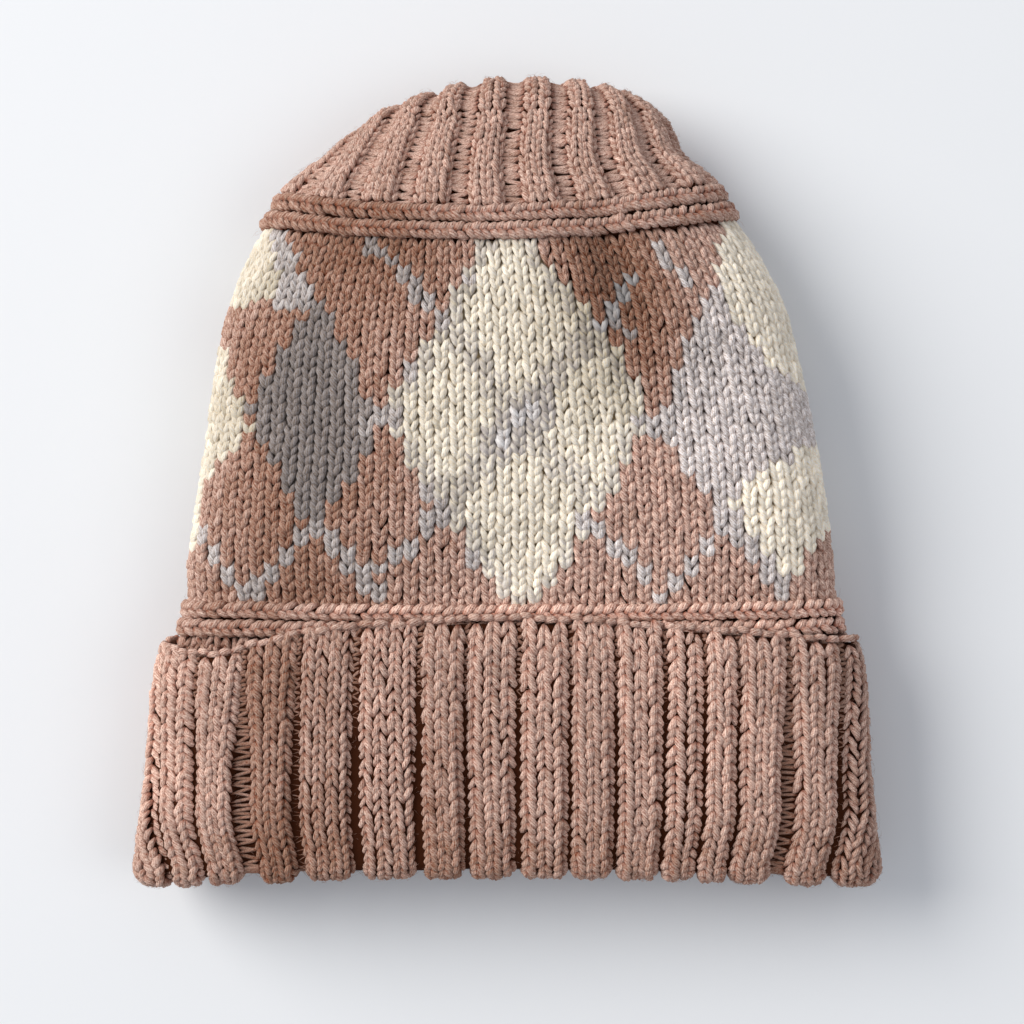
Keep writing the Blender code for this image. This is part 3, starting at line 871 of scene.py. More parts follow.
# Painted shade: each yarn's colour made darker, for the gaps between the legs.
GAP_SHADE_COLOURS = {ROSE: srgb("#3C1C0C"), CREAM: srgb("#E8D0A4"), GREY: srgb("#8A7B70")}


def ring_edges(shape, loop):
    return [shape.edges.get(pair) for pair in zip(loop, loop[1:] + loop[:1])]


def shell(name, rings, colours, closed_tip=False):
    """A skin through rings of points, extruded from ring to ring and bridged into a tube."""
    rings = [on_table(points.copy()) for points in rings]
    shape = bmesh.new()
    made = bmesh.ops.create_circle(shape, cap_ends=False, radius=1.0, segments=len(rings[0]))
    first = loop = list(made["verts"])
    for index, points in enumerate(rings):
        if index:
            grown = bmesh.ops.extrude_edge_only(shape, edges=ring_edges(shape, loop))["geom"]
            new = {v for v in grown if isinstance(v, bmesh.types.BMVert)}
            loop = [next(e.other_vert(v) for e in v.link_edges if e.other_vert(v) in new)
                    for v in loop]
        for vert, point in zip(loop, points):
            vert.co = point
    if closed_tip:
        for end, points in ((first, rings[0]), (loop, rings[-1])):
            grown = bmesh.ops.extrude_edge_only(shape, edges=ring_edges(shape, end))["geom"]
            tip = [v for v in grown if isinstance(v, bmesh.types.BMVert)]
            bmesh.ops.pointmerge(shape, verts=tip, merge_co=points.mean(axis=0))
    else:
        ends = ring_edges(shape, first) + ring_edges(shape, loop)
        bmesh.ops.bridge_loops(shape, edges=ends)
    bmesh.ops.recalc_face_normals(shape, faces=shape.faces)
    mesh = bpy.data.meshes.new(name)
    shape.to_mesh(mesh)
    shape.free()
    attribute = mesh.attributes.new("gap_shade_colour", "FLOAT_COLOR", "POINT")
    tail = np.tile(colours[-1][-1], (len(mesh.vertices), 1))
    flat = np.concatenate(colours)
    tail[: len(flat)] = flat
    attribute.data.foreach_set("color", tail.astype(np.float32).ravel())
    mesh.materials.append(backing)
    mesh.shade_smooth()
    thing = bpy.data.objects.new(name, mesh)
    bpy.context.scene.collection.objects.link(thing)
    print(f"{name}: {len(mesh.polygons)} faces")
    return thing


def rings_at(place, rows, turns, height):
    return [place(np.full(len(turns), float(row)), turns, height) for row in rows]


def two_sided(place, rows, turns, depth, wall):
    """Rings along the right side, under the yarn, and back along the wrong side."""
    inner = rings_at(place, rows[::-1], turns, -depth - wall)
    return rings_at(place, rows, turns, -depth) + inner


def plain_colours(rings, colour):
    return [np.tile(colour, (len(ring), 1)) for ring in rings]


# %% The body's backing
turns = np.arange(2 * COLUMNS) / (2 * COLUMNS)
shell_rows = np.linspace(0.0, BODY_ROWS, BODY_ROWS + 1)
rings = two_sided(on_body, shell_rows, turns, BODY_BACKING, BODY_BACKING_WALL)
palette = np.array([GAP_SHADE_COLOURS[yarn] for yarn in (ROSE, CREAM, GREY)])
colours = []
for row in np.concatenate([shell_rows, shell_rows[::-1]]):
    found, _, _ = charted(turns * COLUMNS - 0.5, np.full(len(turns), row - 0.5))
    colours.append(palette[found])
rides(shell("body_backing", rings, colours), "rose_wool", "patterned_body")

# %% [markdown]
# ## The two welts
#
# A welt is a pair of purled ridges between the sections. Purled the other way out, the loops lie
# across the hat, and each ridge looks like a rope of slanted bumps. Each is modelled with two
# rows of grains that lean against each other.

# %% The ridges' round backs
WELT_YARN = 0.00122
WELT_STROKES = 132
WELT_TONE_TURNS = (0.0, 0.38, 0.50, 0.62, 0.67, 1.0)
# Painted light and shade round each welt: the lower welt is painted mostly lighter, the upper one
# darker over part of its front.
WELT_LIGHT_AND_SHADE = {
    "lower_welt": (1.30, 1.45, 1.40, 1.25, 0.85, 1.10),
    "upper_welt": (1.00, 1.00, 0.95, 0.68, 0.75, 1.00),
}
RIDGE_RADIUS = WELT_WIDTH / 4
STROKE_STITCHES = 1.5
STROKE_START = -4.0
STROKE_END = 80.0
STROKE_SEAT = 0.6
STROKE_FRONT = -0.0003
STROKE_OFFSET = 0.22
STROKE_UNEVEN = Unevenness(0.0, 0.09, 5.0, 0.00015, 0.08, 0.0, 0.0)
WELT_BACKING = 0.0014


def on_welt(start):
    def place(row, turn, height):
        return on_hat(start + row * WELT_WIDTH / 2, turn, height)
    return place


def on_ridge(start, ridge, low):
    """Places on a ridge's round back, by the angle from its middle line and the height over it."""
    def place(angle, turn, height):
        reach = RIDGE_RADIUS - STROKE_SEAT * WELT_YARN + height
        along = start + (ridge + 0.5) * WELT_WIDTH / 2 + reach * np.sin(angle)
        return on_hat(along, turn, low + reach * np.cos(angle))
    return place


print(f"Each ridge is {RIDGE_RADIUS * 2000:.1f} mm wide")

# %% Both welts
def welt_grains(start, tones, seed):
    """Two ridges. Each is a row of strokes in pairs that meet at the middle line like a plait."""
    s = FINE_GRAIN.stations[None, :]
    low = WELT_RIDGE - RIDGE_RADIUS + STROKE_FRONT
    batches, values = [], []
    for ridge in (0, 1):
        for side in (-1.0, 1.0):
            jitter = rng.normal(0, STROKE_UNEVEN.place, WELT_STROKES)
            turns = np.arange(WELT_STROKES) + 0.5 + STROKE_OFFSET * side + jitter
            turns = turns[:, None] / WELT_STROKES
            reach = (0.5 - s) * STROKE_STITCHES / WELT_STROKES
            angle = STROKE_START + (STROKE_END - STROKE_START) * s
            angle = angle + rng.normal(0, STROKE_UNEVEN.row, turns.shape)
            hump = WELT_YARN * (0.30 - 1.0 * (s - 0.45) ** 2)
            hump = hump + rng.normal(0, STROKE_UNEVEN.rise, turns.shape)
            place = on_ridge(start, ridge, low)
            points, fronts = laid(place, np.radians(side * angle), turns + reach, hump)
            girth = WELT_YARN * (1.0 + rng.normal(0.0, STROKE_UNEVEN.girth, WELT_STROKES))
            verts, uv = joined(FINE_GRAIN, points, fronts, girth, 0.95, rng)
            batches.append((FINE_GRAIN, verts, uv))
            tint = tints(WELT_STROKES, turns[:, 0], np.full(WELT_STROKES, 2.0 * ridge), seed)
            # The welt's painted light and shade round the hat.
            tint = tint * np.interp(turns[:, 0], WELT_TONE_TURNS, tones)
            values.append(np.stack([tint, np.zeros(WELT_STROKES)], axis=1))
    return batches, np.concatenate(values)


for node, start, seed in (
    ("lower_welt", LOWER_WELT_START, 31),
    ("upper_welt", UPPER_WELT_START, 32),
):
    place = on_welt(start)
    batches, values = welt_grains(start, WELT_LIGHT_AND_SHADE[node], seed)
    rides(yarn_object(node + "_stitches", batches, values, rose_wool), "rose_wool")
    rows_here = np.linspace(0.0, 2.0, 9)
    bulge = WELT_RIDGE * np.abs(np.sin(math.pi * rows_here)) - WELT_BACKING
    turns = np.arange(COLUMNS) / COLUMNS
    outer = [place(np.full(COLUMNS, r), turns, b) for r, b in zip(rows_here, bulge)]
    rings = outer + rings_at(place, (2.0, 1.0, 0.0), turns, -KNIT_WALL)
    made = shell(node + "_backing", rings, plain_colours(rings, GAP_SHADE_COLOURS[ROSE]))
    rides(made, "rose_wool", node)

# %% [markdown]
# ## The turned-up cuff
#
# The cuff is ribbed: some knit columns, then a purled one. The knit columns stand up as a rib, and
# the purl stitch lies at the bottom of the gap, where its loops cross as bars. It was knitted
# first and is folded up, so its stitches point towards the free edge. Ribbing is elastic, so some
# gaps have slid and stand open, and a table says which. One path follows the cloth from the free
# edge, down the outside, round the fold and up inside.

# %% Where the cuff's gaps lie
OUTER_ROWS = 25
FOLD_ROWS = 7
INNER_ROWS = 26
FOLD_RADIUS = RIB_WALL + RIB_HEIGHT + LAYER_CLEARANCE / 2
FOLD_MIDDLE = CUFF_STAND - FOLD_RADIUS
EDGE_DROP = 0.40
EDGE_ROLL = 0.0008
SIDE_ROLL = 0.0030
EDGE_OPEN = 0.07
EVEN_OPEN = 0.06
LEAN = 0.22
CORNER_CURL = 0.38
# In the gap table, the last column is painted light and shade: it makes the rib after each gap
# lighter or darker, as light falls on it.
Gap = namedtuple("Gap", "number slid open rib_tone")
GAPS = (
    Gap(8, 0.20, 0.10, 1.06), Gap(9, 0.30, 0.30, 1.14), Gap(10, 0.34, 0.04, 1.22),
    Gap(11, 0.00, 0.04, 1.24), Gap(12, -0.18, 0.06, 1.15), Gap(13, -0.20, 0.07, 1.06),
    Gap(14, -0.26, 0.04, 1.12), Gap(15, -0.20, 0.06, 1.05), Gap(16, -0.12, 0.07, 0.96),
    Gap(17, -0.18, 0.04, 1.16), Gap(18, 0.14, 0.08, 0.92), Gap(19, 0.34, 0.12, 0.72),
    Gap(20, 0.44, 0.40, 1.06), Gap(21, 0.40, 0.04, 1.20), Gap(22, 0.10, 0.05, 1.28),
)
gap_slid = np.zeros(CUFF_RIBS + 1)
gap_open = np.full(CUFF_RIBS + 1, EVEN_OPEN)
painted_rib_shading = np.ones(CUFF_RIBS + 1)
for gap in GAPS:
    gap_slid[gap.number] = gap.slid
    gap_open[gap.number] = gap.open
    painted_rib_shading[gap.number] = gap.rib_tone


def smooth(t):
    t = np.clip(t, 0.0, 1.0)
    return t * t * (3.0 - 2.0 * t)


def opening(gap, row):
    """How wide a gap stands open at a row, as a share of a rib. At the free edge all are alike."""
    settled = smooth(row / (0.6 * OUTER_ROWS))
    return EDGE_OPEN + (gap_open[gap] - EDGE_OPEN) * settled


GAP_DEPTH = RIB_HEIGHT + 0.0011
RIB_SHOULDER = 0.19


def rib_drop(phase, half_open):
    """How far the cloth has dropped from the rib's top, as a share: 0 on the rib, 1 in the gap.
    phase runs from one gap to the next."""
    away = np.minimum(np.mod(phase, 1.0), 1.0 - np.mod(phase, 1.0))
    return 1.0 - smooth((away - 0.4 * half_open) / (0.6 * half_open + RIB_SHOULDER))


print(f"{CUFF_RIBS} gaps, {GAP_DEPTH * 1000:.1f} mm deep, of which {len(GAPS)} have slid")

# %% The path of the cuff
def arch_shape(turn):
    return np.abs(np.cos(2.0 * math.pi * turn))


def edge_rise(turn):
    sag = CUFF_SAG * np.exp(-(((turn - CUFF_SAG_TURN) / CUFF_SAG_TURN_WIDTH) ** 2))
    return CUFF_ARCH * arch_shape(turn) - sag


def slid(turn, row):
    """Where a rib really lies: gaps slide from their even places, lean and curl at the corners."""
    rib = np.mod(turn, 1.0) * CUFF_RIBS
    place = rib + np.interp(rib, np.arange(CUFF_RIBS + 1), gap_slid)
    side = np.sin(2.0 * math.pi * (turn - 0.5))
    share = np.clip(row / OUTER_ROWS, 0.0, 1.0)
    lean = LEAN * side * (0.5 - share)
    curl = -CORNER_CURL * side * np.abs(side) * smooth((share - 0.72) / 0.4)
    return (place + lean + curl) / CUFF_RIBS


def on_cuff(row, turn, height):
    """The cloth of the cuff. Rows count from the free edge, and height is over the ribs' tops."""
    row, turn, height = np.broadcast_arrays(row, turn, height)
    share = np.clip(1.0 - row / OUTER_ROWS, -1.0, 1.1)
    depth = EDGE_DROP + (1 - EDGE_DROP) * smooth((1.0 - share) * 1.6)
    phase = turn * CUFF_RIBS
    gap = np.mod(np.round(phase).astype(int), CUFF_RIBS)
    height = height - GAP_DEPTH * depth * rib_drop(phase, opening(gap, row) / 2)
    turn = slid(turn, row)
    arch = arch_shape(turn)
    angle = np.radians(90.0 + 180.0 * np.clip((row - OUTER_ROWS) / FOLD_ROWS, 0.0, 1.0))
    outer_along = FOLD_RADIUS + (CUFF_DEPTH - FOLD_RADIUS) * share + edge_rise(turn) * share**2
    roll = (EDGE_ROLL + SIDE_ROLL * arch**6) * smooth((share - 0.90) / 0.10)
    outer_lift = CUFF_STAND + CUFF_FLARE * arch * share**2 - roll
    inner_share = (row - OUTER_ROWS - FOLD_ROWS) / INNER_ROWS
    inner_along = FOLD_RADIUS + (LOWER_WELT_START - 0.0003 - FOLD_RADIUS) * inner_share
    on_outer, on_inner = row < OUTER_ROWS, row > OUTER_ROWS + FOLD_ROWS
    along = np.where(on_outer, outer_along, FOLD_RADIUS + FOLD_RADIUS * np.cos(angle))
    lift = np.where(on_outer, outer_lift, FOLD_MIDDLE + FOLD_RADIUS * np.sin(angle))
    along = np.where(on_inner, inner_along, along)
    return on_hat(along + height * np.cos(angle), turn, lift + height * np.sin(angle))


print(f"{OUTER_ROWS} rows outside, {FOLD_ROWS} round the fold and {INNER_ROWS} inside")

# %% The cuff's knit columns
CUFF_YARN = 0.00112
CUFF_GIRTH = 0.26
STITCH_SHARE = 0.30
LANE_SINK = 0.00030
# Painted shade on the rows towards the fold.
FOLD_SHADE = 0.22
FOLD_SHADE_START = 15.0
FOLD_SHADE_ROWS = 9.0
rib_width = 1.0 + np.diff(gap_slid)
rib_knits = np.clip(np.round(rib_width / STITCH_SHARE - 0.35), 2, 4).astype(int)


def on_cuff_yarn(row, turn, height):
    return on_cuff(row, turn, height - CUFF_YARN)


def cuff_stitches(first, last, kinds):
    """Batches of legs for the rows from first to last. A rib that has spread shows four columns,
    and a squeezed one only two. Some columns lie a little deeper than others."""
    batches, values = [], []
    lanes = [(rib, knit) for rib in range(CUFF_RIBS) for knit in range(rib_knits[rib])]
    sinks = rng.normal(0.0, LANE_SINK, len(lanes))
    shifts = rng.uniform(-0.5, 0.5, len(lanes))
    for kind, top in kinds:
        lane, rows = np.meshgrid(np.arange(len(lanes)), np.arange(first, last, 1.0))
        lane, rows = lane.ravel(), rows.ravel()
        rib, knit = np.array(lanes)[lane].T
        facing_up = np.abs((rib + 0.5) / CUFF_RIBS - 0.5) < 0.27
        keep = facing_up == top if top is not None else rib >= 0
        lane, rib, knit, rows = lane[keep], rib[keep], knit[keep], rows[keep]
        left = rib + opening(rib, rows) / 2
        right = rib + 1 - opening((rib + 1) % CUFF_RIBS, rows) / 2
        turns = (left + (right - left) * (knit + 0.5) / rib_knits[rib]) / CUFF_RIBS
        widths = (right - left) / rib_knits[rib] / CUFF_RIBS
        deep = np.repeat(sinks[lane], 2)[:, None]
        radius = np.minimum(CUFF_YARN, CUFF_GIRTH * widths * ring_lengths[0])

        def place(row, turn, height):
            return on_cuff_yarn(row, turn, height - np.abs(deep))

        # Painted shade towards the fold, where the cuff turns away from the light.
        near_fold = 1.0 - FOLD_SHADE * smooth((rows - FOLD_SHADE_START) / FOLD_SHADE_ROWS)
        # Each rib's painted light and shade, times the painted shade near the fold.
        batch, value = toned_legs(kind, place, turns, widths, rows, radius, (41, 51),
                                  painted_rib_shading[rib] * near_fold, 0.0, shifts[lane])
        batches.append(batch)
        values.append(value)
    return batches, np.concatenate(values)


outer_end = OUTER_ROWS + FOLD_ROWS
batches, values = cuff_stitches(0, outer_end, ((FINE_GRAIN, True), (PLAIN_GRAIN, False)))
rides(yarn_object("cuff_outer_stitches", batches, values, rose_wool), "rose_wool")
batches, values = cuff_stitches(outer_end, outer_end + INNER_ROWS, ((PLAIN_GRAIN, None),))
rides(yarn_object("cuff_inner_stitches", batches, values, rose_wool), "rose_wool")

# %% The purl bars in the gaps
BARS_A_ROW = 2
Bars = namedtuple("Bars", "kind radius seat margin tone")
# The last value darkens or lightens the bars: painted shade for those that lie deep in the cuff's
# gaps, painted light for the crown's.
OUTER_BARS = Bars(PLAIN_GRAIN, 0.00058, 0.0011, 0.09, 0.72)
INNER_BARS = Bars(PLAIN_GRAIN, 0.00080, 0.0008, 0.12, 0.70)
CROWN_BARS = Bars(FINE_GRAIN, 0.00080, 0.0009, 0.14, 1.04)


def purl_bars(place, ribs, opened, rows, bars, seed):
    """Bars across each gap, leaning to and fro as the loops of purl stitches do."""
    rib, row = np.meshgrid(np.arange(ribs), rows)
    rib, row = rib.ravel(), row.ravel()
    odd = np.round(row * BARS_A_ROW).astype(int) % 2
    s = bars.kind.stations[None, :]
    lean = np.where(odd, 0.42, -0.36)[:, None] + rng.normal(0.0, 0.25, (len(rib), 1))
    width = (opened(rib, row) + bars.margin)[:, None]
    width = width * (1.0 + rng.normal(0.0, 0.06, (len(rib), 1)))
    at_turn = (rib[:, None] + (s - 0.5) * width) / ribs
    at_row = row[:, None] + lean * (s - 0.5) + rng.normal(0.0, 0.09, (len(rib), 1))
    hump = (1.0 - (2.0 * s - 1.0) ** 2) * bars.radius * 0.8
    points, fronts = laid(place, at_row, at_turn, hump - bars.seat)
    girth = bars.radius * (1.0 + rng.normal(0.0, 0.10, len(rib)))
    verts, uv = joined(bars.kind, points, fronts, girth, 1.0, rng)
    # The bars' painted shade or painted light.
    tint = tints(len(rib), at_turn[:, 0], row, seed) * bars.tone
    return (bars.kind, verts, uv), np.stack([tint, np.zeros(len(rib))], axis=1)


outer_bar_rows = np.arange(0.3, outer_end, 1.0 / BARS_A_ROW)
inner_bar_rows = np.arange(outer_end + 0.3, outer_end + INNER_ROWS)
outer_bars, outer_tints = purl_bars(on_cuff, CUFF_RIBS, opening, outer_bar_rows, OUTER_BARS, 61)
inner_bars, inner_tints = purl_bars(on_cuff, CUFF_RIBS, opening, inner_bar_rows, INNER_BARS, 62)
bar_tints = np.concatenate([outer_tints, inner_tints])
rides(yarn_object("cuff_purl_bars", [outer_bars, inner_bars], bar_tints, rose_wool), "rose_wool")

# %% The ribs below the welt, where the cuff's edge dips
UNDER_ROWS = 7
UNDER_PITCH = 0.0027
# Painted shade on these ribs, which lie under the cuff's edge.
UNDER_EDGE_SHADE = 0.9
UNDER_LIFT = FOLD_MIDDLE - LAYER_CLEARANCE / 2


def on_under_cuff(row, turn, height):
    """The outer face of the inner layer. Rows count up to the lower welt."""
    row, turn, height = np.broadcast_arrays(row, turn, height)
    along = LOWER_WELT_START - (UNDER_ROWS - row) * UNDER_PITCH
    gap = np.mod(np.round(turn * CUFF_RIBS).astype(int), CUFF_RIBS)
    drop = RIB_HEIGHT * rib_drop(turn * CUFF_RIBS, opening(gap, row + OUTER_ROWS) / 2)
    return on_hat(along, turn, UNDER_LIFT + height - drop - CUFF_YARN)


lane_rib, lane_knit, lane_rows = (
    a.ravel() for a in np.meshgrid(np.arange(CUFF_RIBS), np.arange(3), np.arange(UNDER_ROWS))
)
turns = (lane_rib + 0.5 + (1 - EVEN_OPEN) * ((lane_knit + 0.5) / 3 - 0.5)) / CUFF_RIBS
widths = np.full(len(turns), (1 - EVEN_OPEN) / 3 / CUFF_RIBS)
radius = np.full(len(turns), CUFF_YARN)
batch, values = toned_legs(PLAIN_GRAIN, on_under_cuff, turns, widths, lane_rows.astype(float),
                           radius, (43, 53), UNDER_EDGE_SHADE)
rides(yarn_object("ribs_under_cuff_edge", [batch], values, rose_wool), "rose_wool")

# %% The cast-on edge
CAST_ON_YARN = 0.00105


def cast_on_edge():
    """A row of short loops that lie over the free edge, one for each stitch."""
    s = FINE_GRAIN.stations[None, :]
    stitches = 4 * CUFF_RIBS
    turns = (np.arange(stitches) + 0.5 + rng.normal(0, 0.08, stitches))[:, None] / stitches
    reach = (0.5 - s) * 1.3 / stitches
    at_row = -0.55 + 0.30 * (2.0 * s - 1.0) ** 2 + rng.normal(0, 0.10, turns.shape)
    height = -CAST_ON_YARN * (0.7 + 1.2 * (2.0 * s - 1.0) ** 2)
    height = height + rng.normal(0, 0.00015, turns.shape)
    points, fronts = laid(on_cuff, at_row, turns + reach, height)
    girth = CAST_ON_YARN * (1.0 + rng.normal(0.0, 0.08, stitches))
    verts, uv = joined(FINE_GRAIN, points, fronts, girth, 1.0, rng)
    tint = tints(stitches, turns[:, 0], np.zeros(stitches), 63) * 1.04
    return [(FINE_GRAIN, verts, uv)], np.stack([tint, np.zeros(stitches)], axis=1)


batches, values = cast_on_edge()
rides(yarn_object("cuff_cast_on_edge", batches, values, rose_wool), "rose_wool")

# %% The cuff's backing
CUFF_BACKING = 0.0014
CUFF_BACKING_WALL = 0.0007
RIB_PHASES = (-0.12, 0.12, 0.30, 0.5, 0.70)
turns = np.array([(rib + phase) / CUFF_RIBS for rib in range(CUFF_RIBS) for phase in RIB_PHASES])
shell_rows = np.concatenate([
    np.linspace(0.1, OUTER_ROWS, 10),
    OUTER_ROWS + np.arange(1.0, FOLD_ROWS),
    np.linspace(outer_end, outer_end + INNER_ROWS, 8),
])
rings = two_sided(on_cuff, shell_rows, turns, CUFF_BACKING, CUFF_BACKING_WALL)
made = shell("cuff_backing", rings, plain_colours(rings, GAP_SHADE_COLOURS[ROSE]))
rides(made, "rose_wool", "turned_up_cuff")

# %% [markdown]
# ## The ribbed crown
#
# Above the upper welt the hat is ribbed three by two, and stitches are taken out until the tip can
# be drawn together. Rows are spaced by the distance along the cloth, which bends over at the
# tip, and the ribs lose a stitch where they become too narrow for it.

# %% The crown's surface
CROWN_ROW_HEIGHT = 0.0026
TIP_ROWS = 4
TIP_LINE_SHARE = 0.72
CROWN_OPEN = 0.32
CROWN_FADE = 0.35
CROWN_RELIEF = 0.0031
Twist = namedtuple("Twist", "share slid spread")
TWISTS = (
    Twist(0.0, -0.015, 1.00),
    Twist(0.5, -0.004, 1.12),
    Twist(0.8, 0.018, 1.40),
    Twist(1.0, 0.035, 1.65),
)
crown_alongs = np.linspace(UPPER_WELT_END, TIP_SHARE * HAT_LENGTH, 200)
crown_line = on_hat(crown_alongs, 0.5, 0.0)
crown_run = np.concatenate([[0.0], np.cumsum(np.linalg.norm(np.diff(crown_line, axis=0), axis=1))])
CROWN_ROWS = int(round(crown_run[-1] / CROWN_ROW_HEIGHT))
tip_middle = on_hat(TIP_SHARE * HAT_LENGTH, np.arange(64) / 64, 0.0).mean(axis=0)


def twisted(turn, share):
    """Where a crown rib really lies. Towards the tip the ribs in front stay wide, and those at the
    sides crowd together."""
    table = np.array(TWISTS)
    moved = np.interp(share, table[:, 0], table[:, 1])
    spread = np.interp(share, table[:, 0], table[:, 2])
    return turn + moved + (spread - 1.0) * np.sin(4.0 * math.pi * turn) / (4.0 * math.pi)


def on_crown(row, turn, height):
    """The crown's cloth, from the welt over the edge and on across the closed tip."""
    row, turn, height = np.broadcast_arrays(row, turn, height)
    share = np.clip(row / CROWN_ROWS, 0.0, 1.0)
    along = np.interp(share * crown_run[-1], crown_run, crown_alongs)
    fade = 1.0 - CROWN_FADE * share**2
    drop = CROWN_RELIEF * rib_drop(turn * CROWN_RIBS, CROWN_OPEN / 2)
    points = on_hat(along, twisted(turn, share), height + RIB_HEIGHT * fade - drop)
    closing = np.clip((row - CROWN_ROWS) / TIP_ROWS, 0.0, 1.0)[..., None]
    seam = tip_middle + (points - tip_middle) * np.array([TIP_LINE_SHARE, 0.0, 0.0])
    return points * (1.0 - closing) + seam * closing


print(f"The crown has {CROWN_ROWS} rows, over {crown_run[-1] * 1000:.1f} mm of cloth")

# %% The crown's knit columns and purl bars
CROWN_YARN = 0.00122
CROWN_GIRTH = 0.29
# Painted light over all of the crown's stitches.
CROWN_PAINTED_LIGHT = 1.03
FULL_ROWS = 12
crown_steps = (
    (0, FULL_ROWS, 3, 1.0),
    (FULL_ROWS, CROWN_ROWS + TIP_ROWS, 2, 0.88),
)


def on_crown_yarn(row, turn, height):
    return on_crown(row, turn, height - CROWN_YARN)


batches, values = [], []
for first, last, stitches, share in crown_steps:
    rib, knit, rows = (a.ravel() for a in np.meshgrid(
        np.arange(CROWN_RIBS), np.arange(stitches), np.arange(first, last, 1.0)))
    wide = (1.0 - CROWN_OPEN) * share
    turns = (rib + 0.5 + wide * ((knit + 0.5) / stitches - 0.5)) / CROWN_RIBS
    widths = np.full(len(rows), wide / stitches / CROWN_RIBS)
    along = np.interp(np.clip(rows / CROWN_ROWS, 0, 1) * crown_run[-1], crown_run, crown_alongs)
    pitch = np.interp(along / HAT_LENGTH, grid_shares, ring_lengths) * widths
    radius = np.minimum(CROWN_YARN, CROWN_GIRTH * pitch)
    batch, value = toned_legs(FINE_GRAIN, on_crown_yarn, turns, widths, rows, radius, (71, 81),
                              CROWN_PAINTED_LIGHT)
    batches.append(batch)
    values.append(value)
made = yarn_object("crown_stitches", batches, np.concatenate(values), rose_wool)
rides(made, "rose_wool")


def crown_opening(rib, row):
    return np.full(len(rib), CROWN_OPEN)


crown_bar_rows = np.arange(0.2, CROWN_ROWS + 1, 1.0 / BARS_A_ROW)
bars, bar_tints = purl_bars(on_crown, CROWN_RIBS, crown_opening, crown_bar_rows, CROWN_BARS, 91)
rides(yarn_object("crown_purl_bars", [bars], bar_tints, rose_wool), "rose_wool")

# %% The crown's backing
CROWN_BACKING = 0.0013
CROWN_PHASES = (-0.10, 0.10, 0.28, 0.5, 0.72)
turns = np.array([(rib + p) / CROWN_RIBS for rib in range(CROWN_RIBS) for p in CROWN_PHASES])
outer_rows = np.linspace(0.0, CROWN_ROWS + 0.9 * TIP_ROWS, 20)
inner_rows = np.linspace(0.0, CROWN_ROWS, 8)
rings = rings_at(on_crown, outer_rows[::-1], turns, -CROWN_BACKING)
rings += rings_at(on_crown, inner_rows, turns, -RIB_WALL)
made = shell("crown_backing", rings, plain_colours(rings, GAP_SHADE_COLOURS[ROSE]), closed_tip=True)
rides(made, "rose_wool", "ribbed_crown")

# %% [markdown]
# ## Loose fibres
#
# Wool is hairy. Thin fibres stand away from the yarn everywhere and make the outline soft. Hair
# particles are no part of a mesh, so each fibre is a long three-sided grain that starts inside
# the yarn and leans out of it in any direction.

# %% One fibre at each place
FIBRE_RADIUS = 0.00004
FIBRE_LENGTHS = (0.0015, 0.0045)
FIBRE_LIFTS = (0.0001, 0.0011)
FIBRE_START = -0.0006


def loose_fibres(place, row_height, ring_length, rows, turns):
    """One fibre at each row and turn, as vertices and UVs."""
    s = FIBRE.stations[None, :]
    away = rng.uniform(0.0, 2.0 * math.pi, (len(rows), 1))
    away = away + rng.normal(0.0, 0.6, (len(rows), 1)) * s
    length = rng.uniform(*FIBRE_LENGTHS, (len(rows), 1)) * s
    lift = FIBRE_START + (rng.uniform(*FIBRE_LIFTS, (len(rows), 1)) - FIBRE_START) * np.sqrt(s)
    at_row = rows[:, None] + length * np.sin(away) / row_height
    at_turn = turns[:, None] + length * np.cos(away) / ring_length
    points, fronts = laid(place, at_row, at_turn, lift)
    return joined(FIBRE, points, fronts, np.full(len(rows), FIBRE_RADIUS), 1.0, rng)


print(f"A fibre is up to {FIBRE_LENGTHS[1] * 1000:.1f} mm long")

# %% Fibres over every section
def on_welt_top(start):
    def place(row, turn, height):
        return on_hat(start + row * WELT_WIDTH / 2, turn, WELT_RIDGE * 0.7 + height)
    return place


# How far it is round the hat at the mouth, the body, the upper welt and the crown.
mouth_ring, body_ring, welt_ring, crown_ring = ring_lengths[[0, 200, 320, 360]]
Fluff = namedtuple("Fluff", "place first last row_height ring_length count")
fluffs = (
    Fluff(on_cuff, -0.5, outer_end, CUFF_DEPTH / OUTER_ROWS, mouth_ring, 5200),
    Fluff(on_welt_top(LOWER_WELT_START), 0.0, 2.0, WELT_WIDTH / 2, mouth_ring, 700),
    Fluff(on_welt_top(UPPER_WELT_START), 0.0, 2.0, WELT_WIDTH / 2, welt_ring, 700),
    Fluff(on_crown, 0.0, CROWN_ROWS + 3.0, CROWN_ROW_HEIGHT, crown_ring, 2400),
)
batches, amounts = [], []
for fluff in fluffs:
    rows = rng.uniform(fluff.first, fluff.last, fluff.count)
    turns = rng.uniform(0.0, 1.0, fluff.count)
    fibres = loose_fibres(fluff.place, fluff.row_height, fluff.ring_length, rows, turns)
    batches.append((FIBRE, *fibres))
    amounts.append(fluff.count)
values = np.tile([1.05, 0.0], (sum(amounts), 1))
rides(yarn_object("loose_rose_fibres", batches, values, rose_wool), "rose_wool")

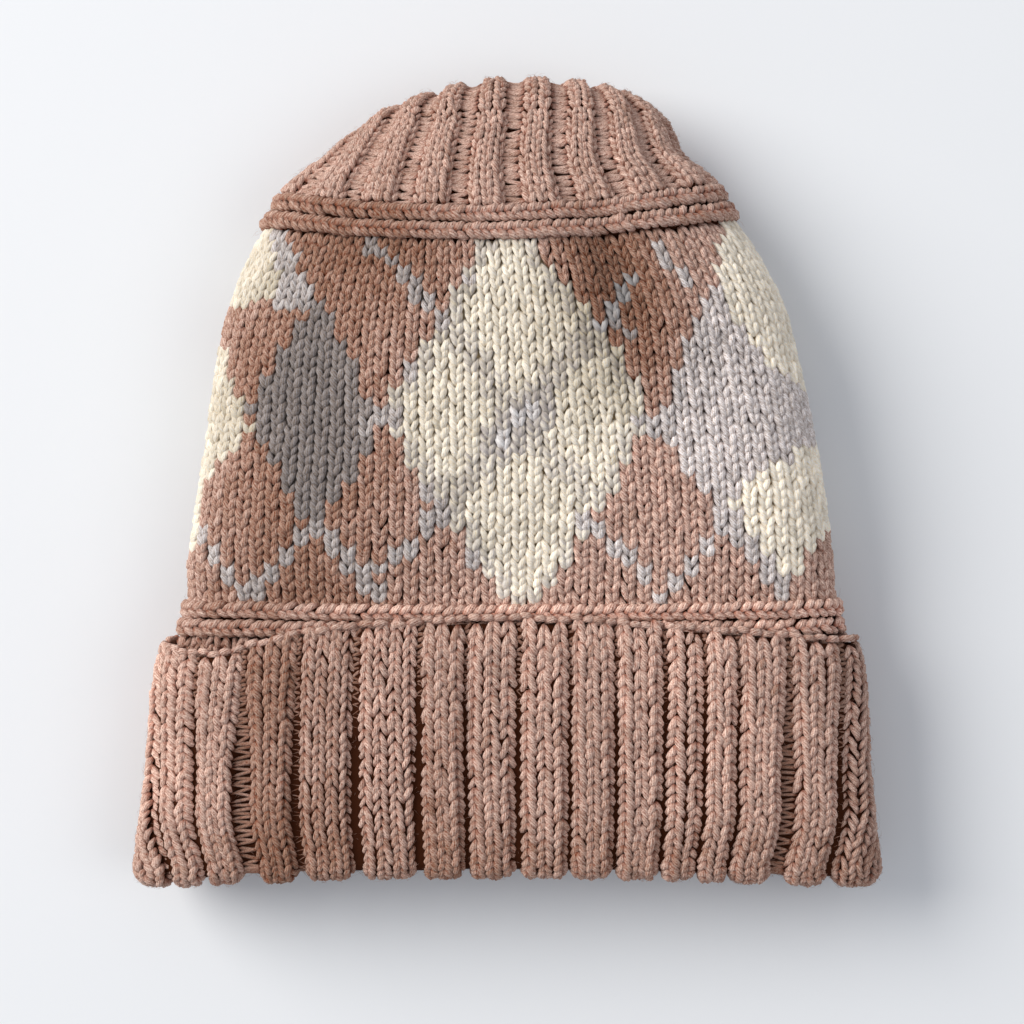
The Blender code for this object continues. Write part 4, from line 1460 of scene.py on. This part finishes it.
BODY_FIBRES = 5200
rows = rng.uniform(0.0, BODY_ROWS, BODY_FIBRES)
turns = rng.uniform(0.0, 1.0, BODY_FIBRES)
yarns, marls, tones = charted(np.floor(turns * COLUMNS), np.floor(rows))
for yarn, label, wool, slot in (
    (ROSE, "body_rose_fibres", rose_wool, "rose_wool"),
    (CREAM, "body_cream_fibres", cream_wool, "cream_wool"),
    (GREY, "body_grey_fibres", grey_wool, "grey_wool"),
):
    here = yarns == yarn
    fibres = loose_fibres(on_body, BODY_LENGTH / BODY_ROWS, body_ring, rows[here], turns[here])
    values = np.stack([tones[here], marls[here]], axis=1)
    rides(yarn_object(label, [(FIBRE, *fibres)], values, wool), slot)

# %% [markdown]
# ## Table, light and camera
#
# The hat is seen from straight above on a plain white table. The light is soft and comes from the
# upper left, as from a window, so each rib is bright on its left and the shadow falls to the
# right. A weak light from the other side stands for the pale room, and the sky fills the rest.

# %% The table
TABLE_SIZE = 3.0
table_mesh = bpy.data.meshes.new("white_table")
flat = bmesh.new()
bmesh.ops.create_grid(flat, x_segments=1, y_segments=1, size=TABLE_SIZE / 2)
flat.to_mesh(table_mesh)
flat.free()
table = bpy.data.objects.new("white_table", table_mesh)
bpy.context.scene.collection.objects.link(table)
matt_white = bpy.data.materials.new("matt_white_laminate")
matt_white.use_nodes = True
white = matt_white.node_tree.nodes["Principled BSDF"]
white.inputs["Base Color"].default_value = srgb("#EBEDF0")
white.inputs["Roughness"].default_value = 0.7
table_mesh.materials.append(matt_white)
print(f"The table is {TABLE_SIZE:.0f} m wide, and its top is at height 0")

# %% The light
def soft_light(name, place, size, power, colour):
    lamp = bpy.data.lights.new(name, "AREA")
    lamp.shape = "DISK"
    lamp.size = size
    lamp.energy = power
    lamp.color = srgb(colour)[:3]
    thing = bpy.data.objects.new(name, lamp)
    bpy.context.scene.collection.objects.link(thing)
    thing.location = place
    back = np.array(place) / np.linalg.norm(place)
    thing.rotation_euler = (
        math.acos(back[2]),
        0.0,
        math.atan2(back[1], back[0]) + math.pi / 2,
    )
    return thing


soft_light("window_light", (-2.28, 1.12, 1.66), 2.3, 103.0, "#FFFCF7")
soft_light("room_light", (1.5, -0.3, 2.0), 1.6, 9.0, "#FFFDFB")
world = bpy.data.worlds.new("pale_room")
world.use_nodes = True
world.node_tree.nodes["Background"].inputs["Color"].default_value = srgb("#EBF0F9")
world.node_tree.nodes["Background"].inputs["Strength"].default_value = 0.45
bpy.context.scene.world = world
bpy.context.scene.view_settings.view_transform = "Standard"
print("Lights:", ", ".join(lamp.name for lamp in bpy.data.lights))

# %% The camera
FRAME_WIDTH = 0.3041
CAMERA_HEIGHT = 0.8
OUTLINE_HEIGHT = 0.022
SENSOR_WIDTH = 36.0
lens = bpy.data.cameras.new("overhead_camera")
lens.sensor_width = SENSOR_WIDTH
lens.lens = SENSOR_WIDTH * CAMERA_HEIGHT / FRAME_WIDTH
camera = bpy.data.objects.new("overhead_camera", lens)
camera.location = (0.0012, -0.0082, CAMERA_HEIGHT + OUTLINE_HEIGHT)
bpy.context.scene.collection.objects.link(camera)
bpy.context.scene.camera = camera
print(f"The lens is {lens.lens:.0f} mm")
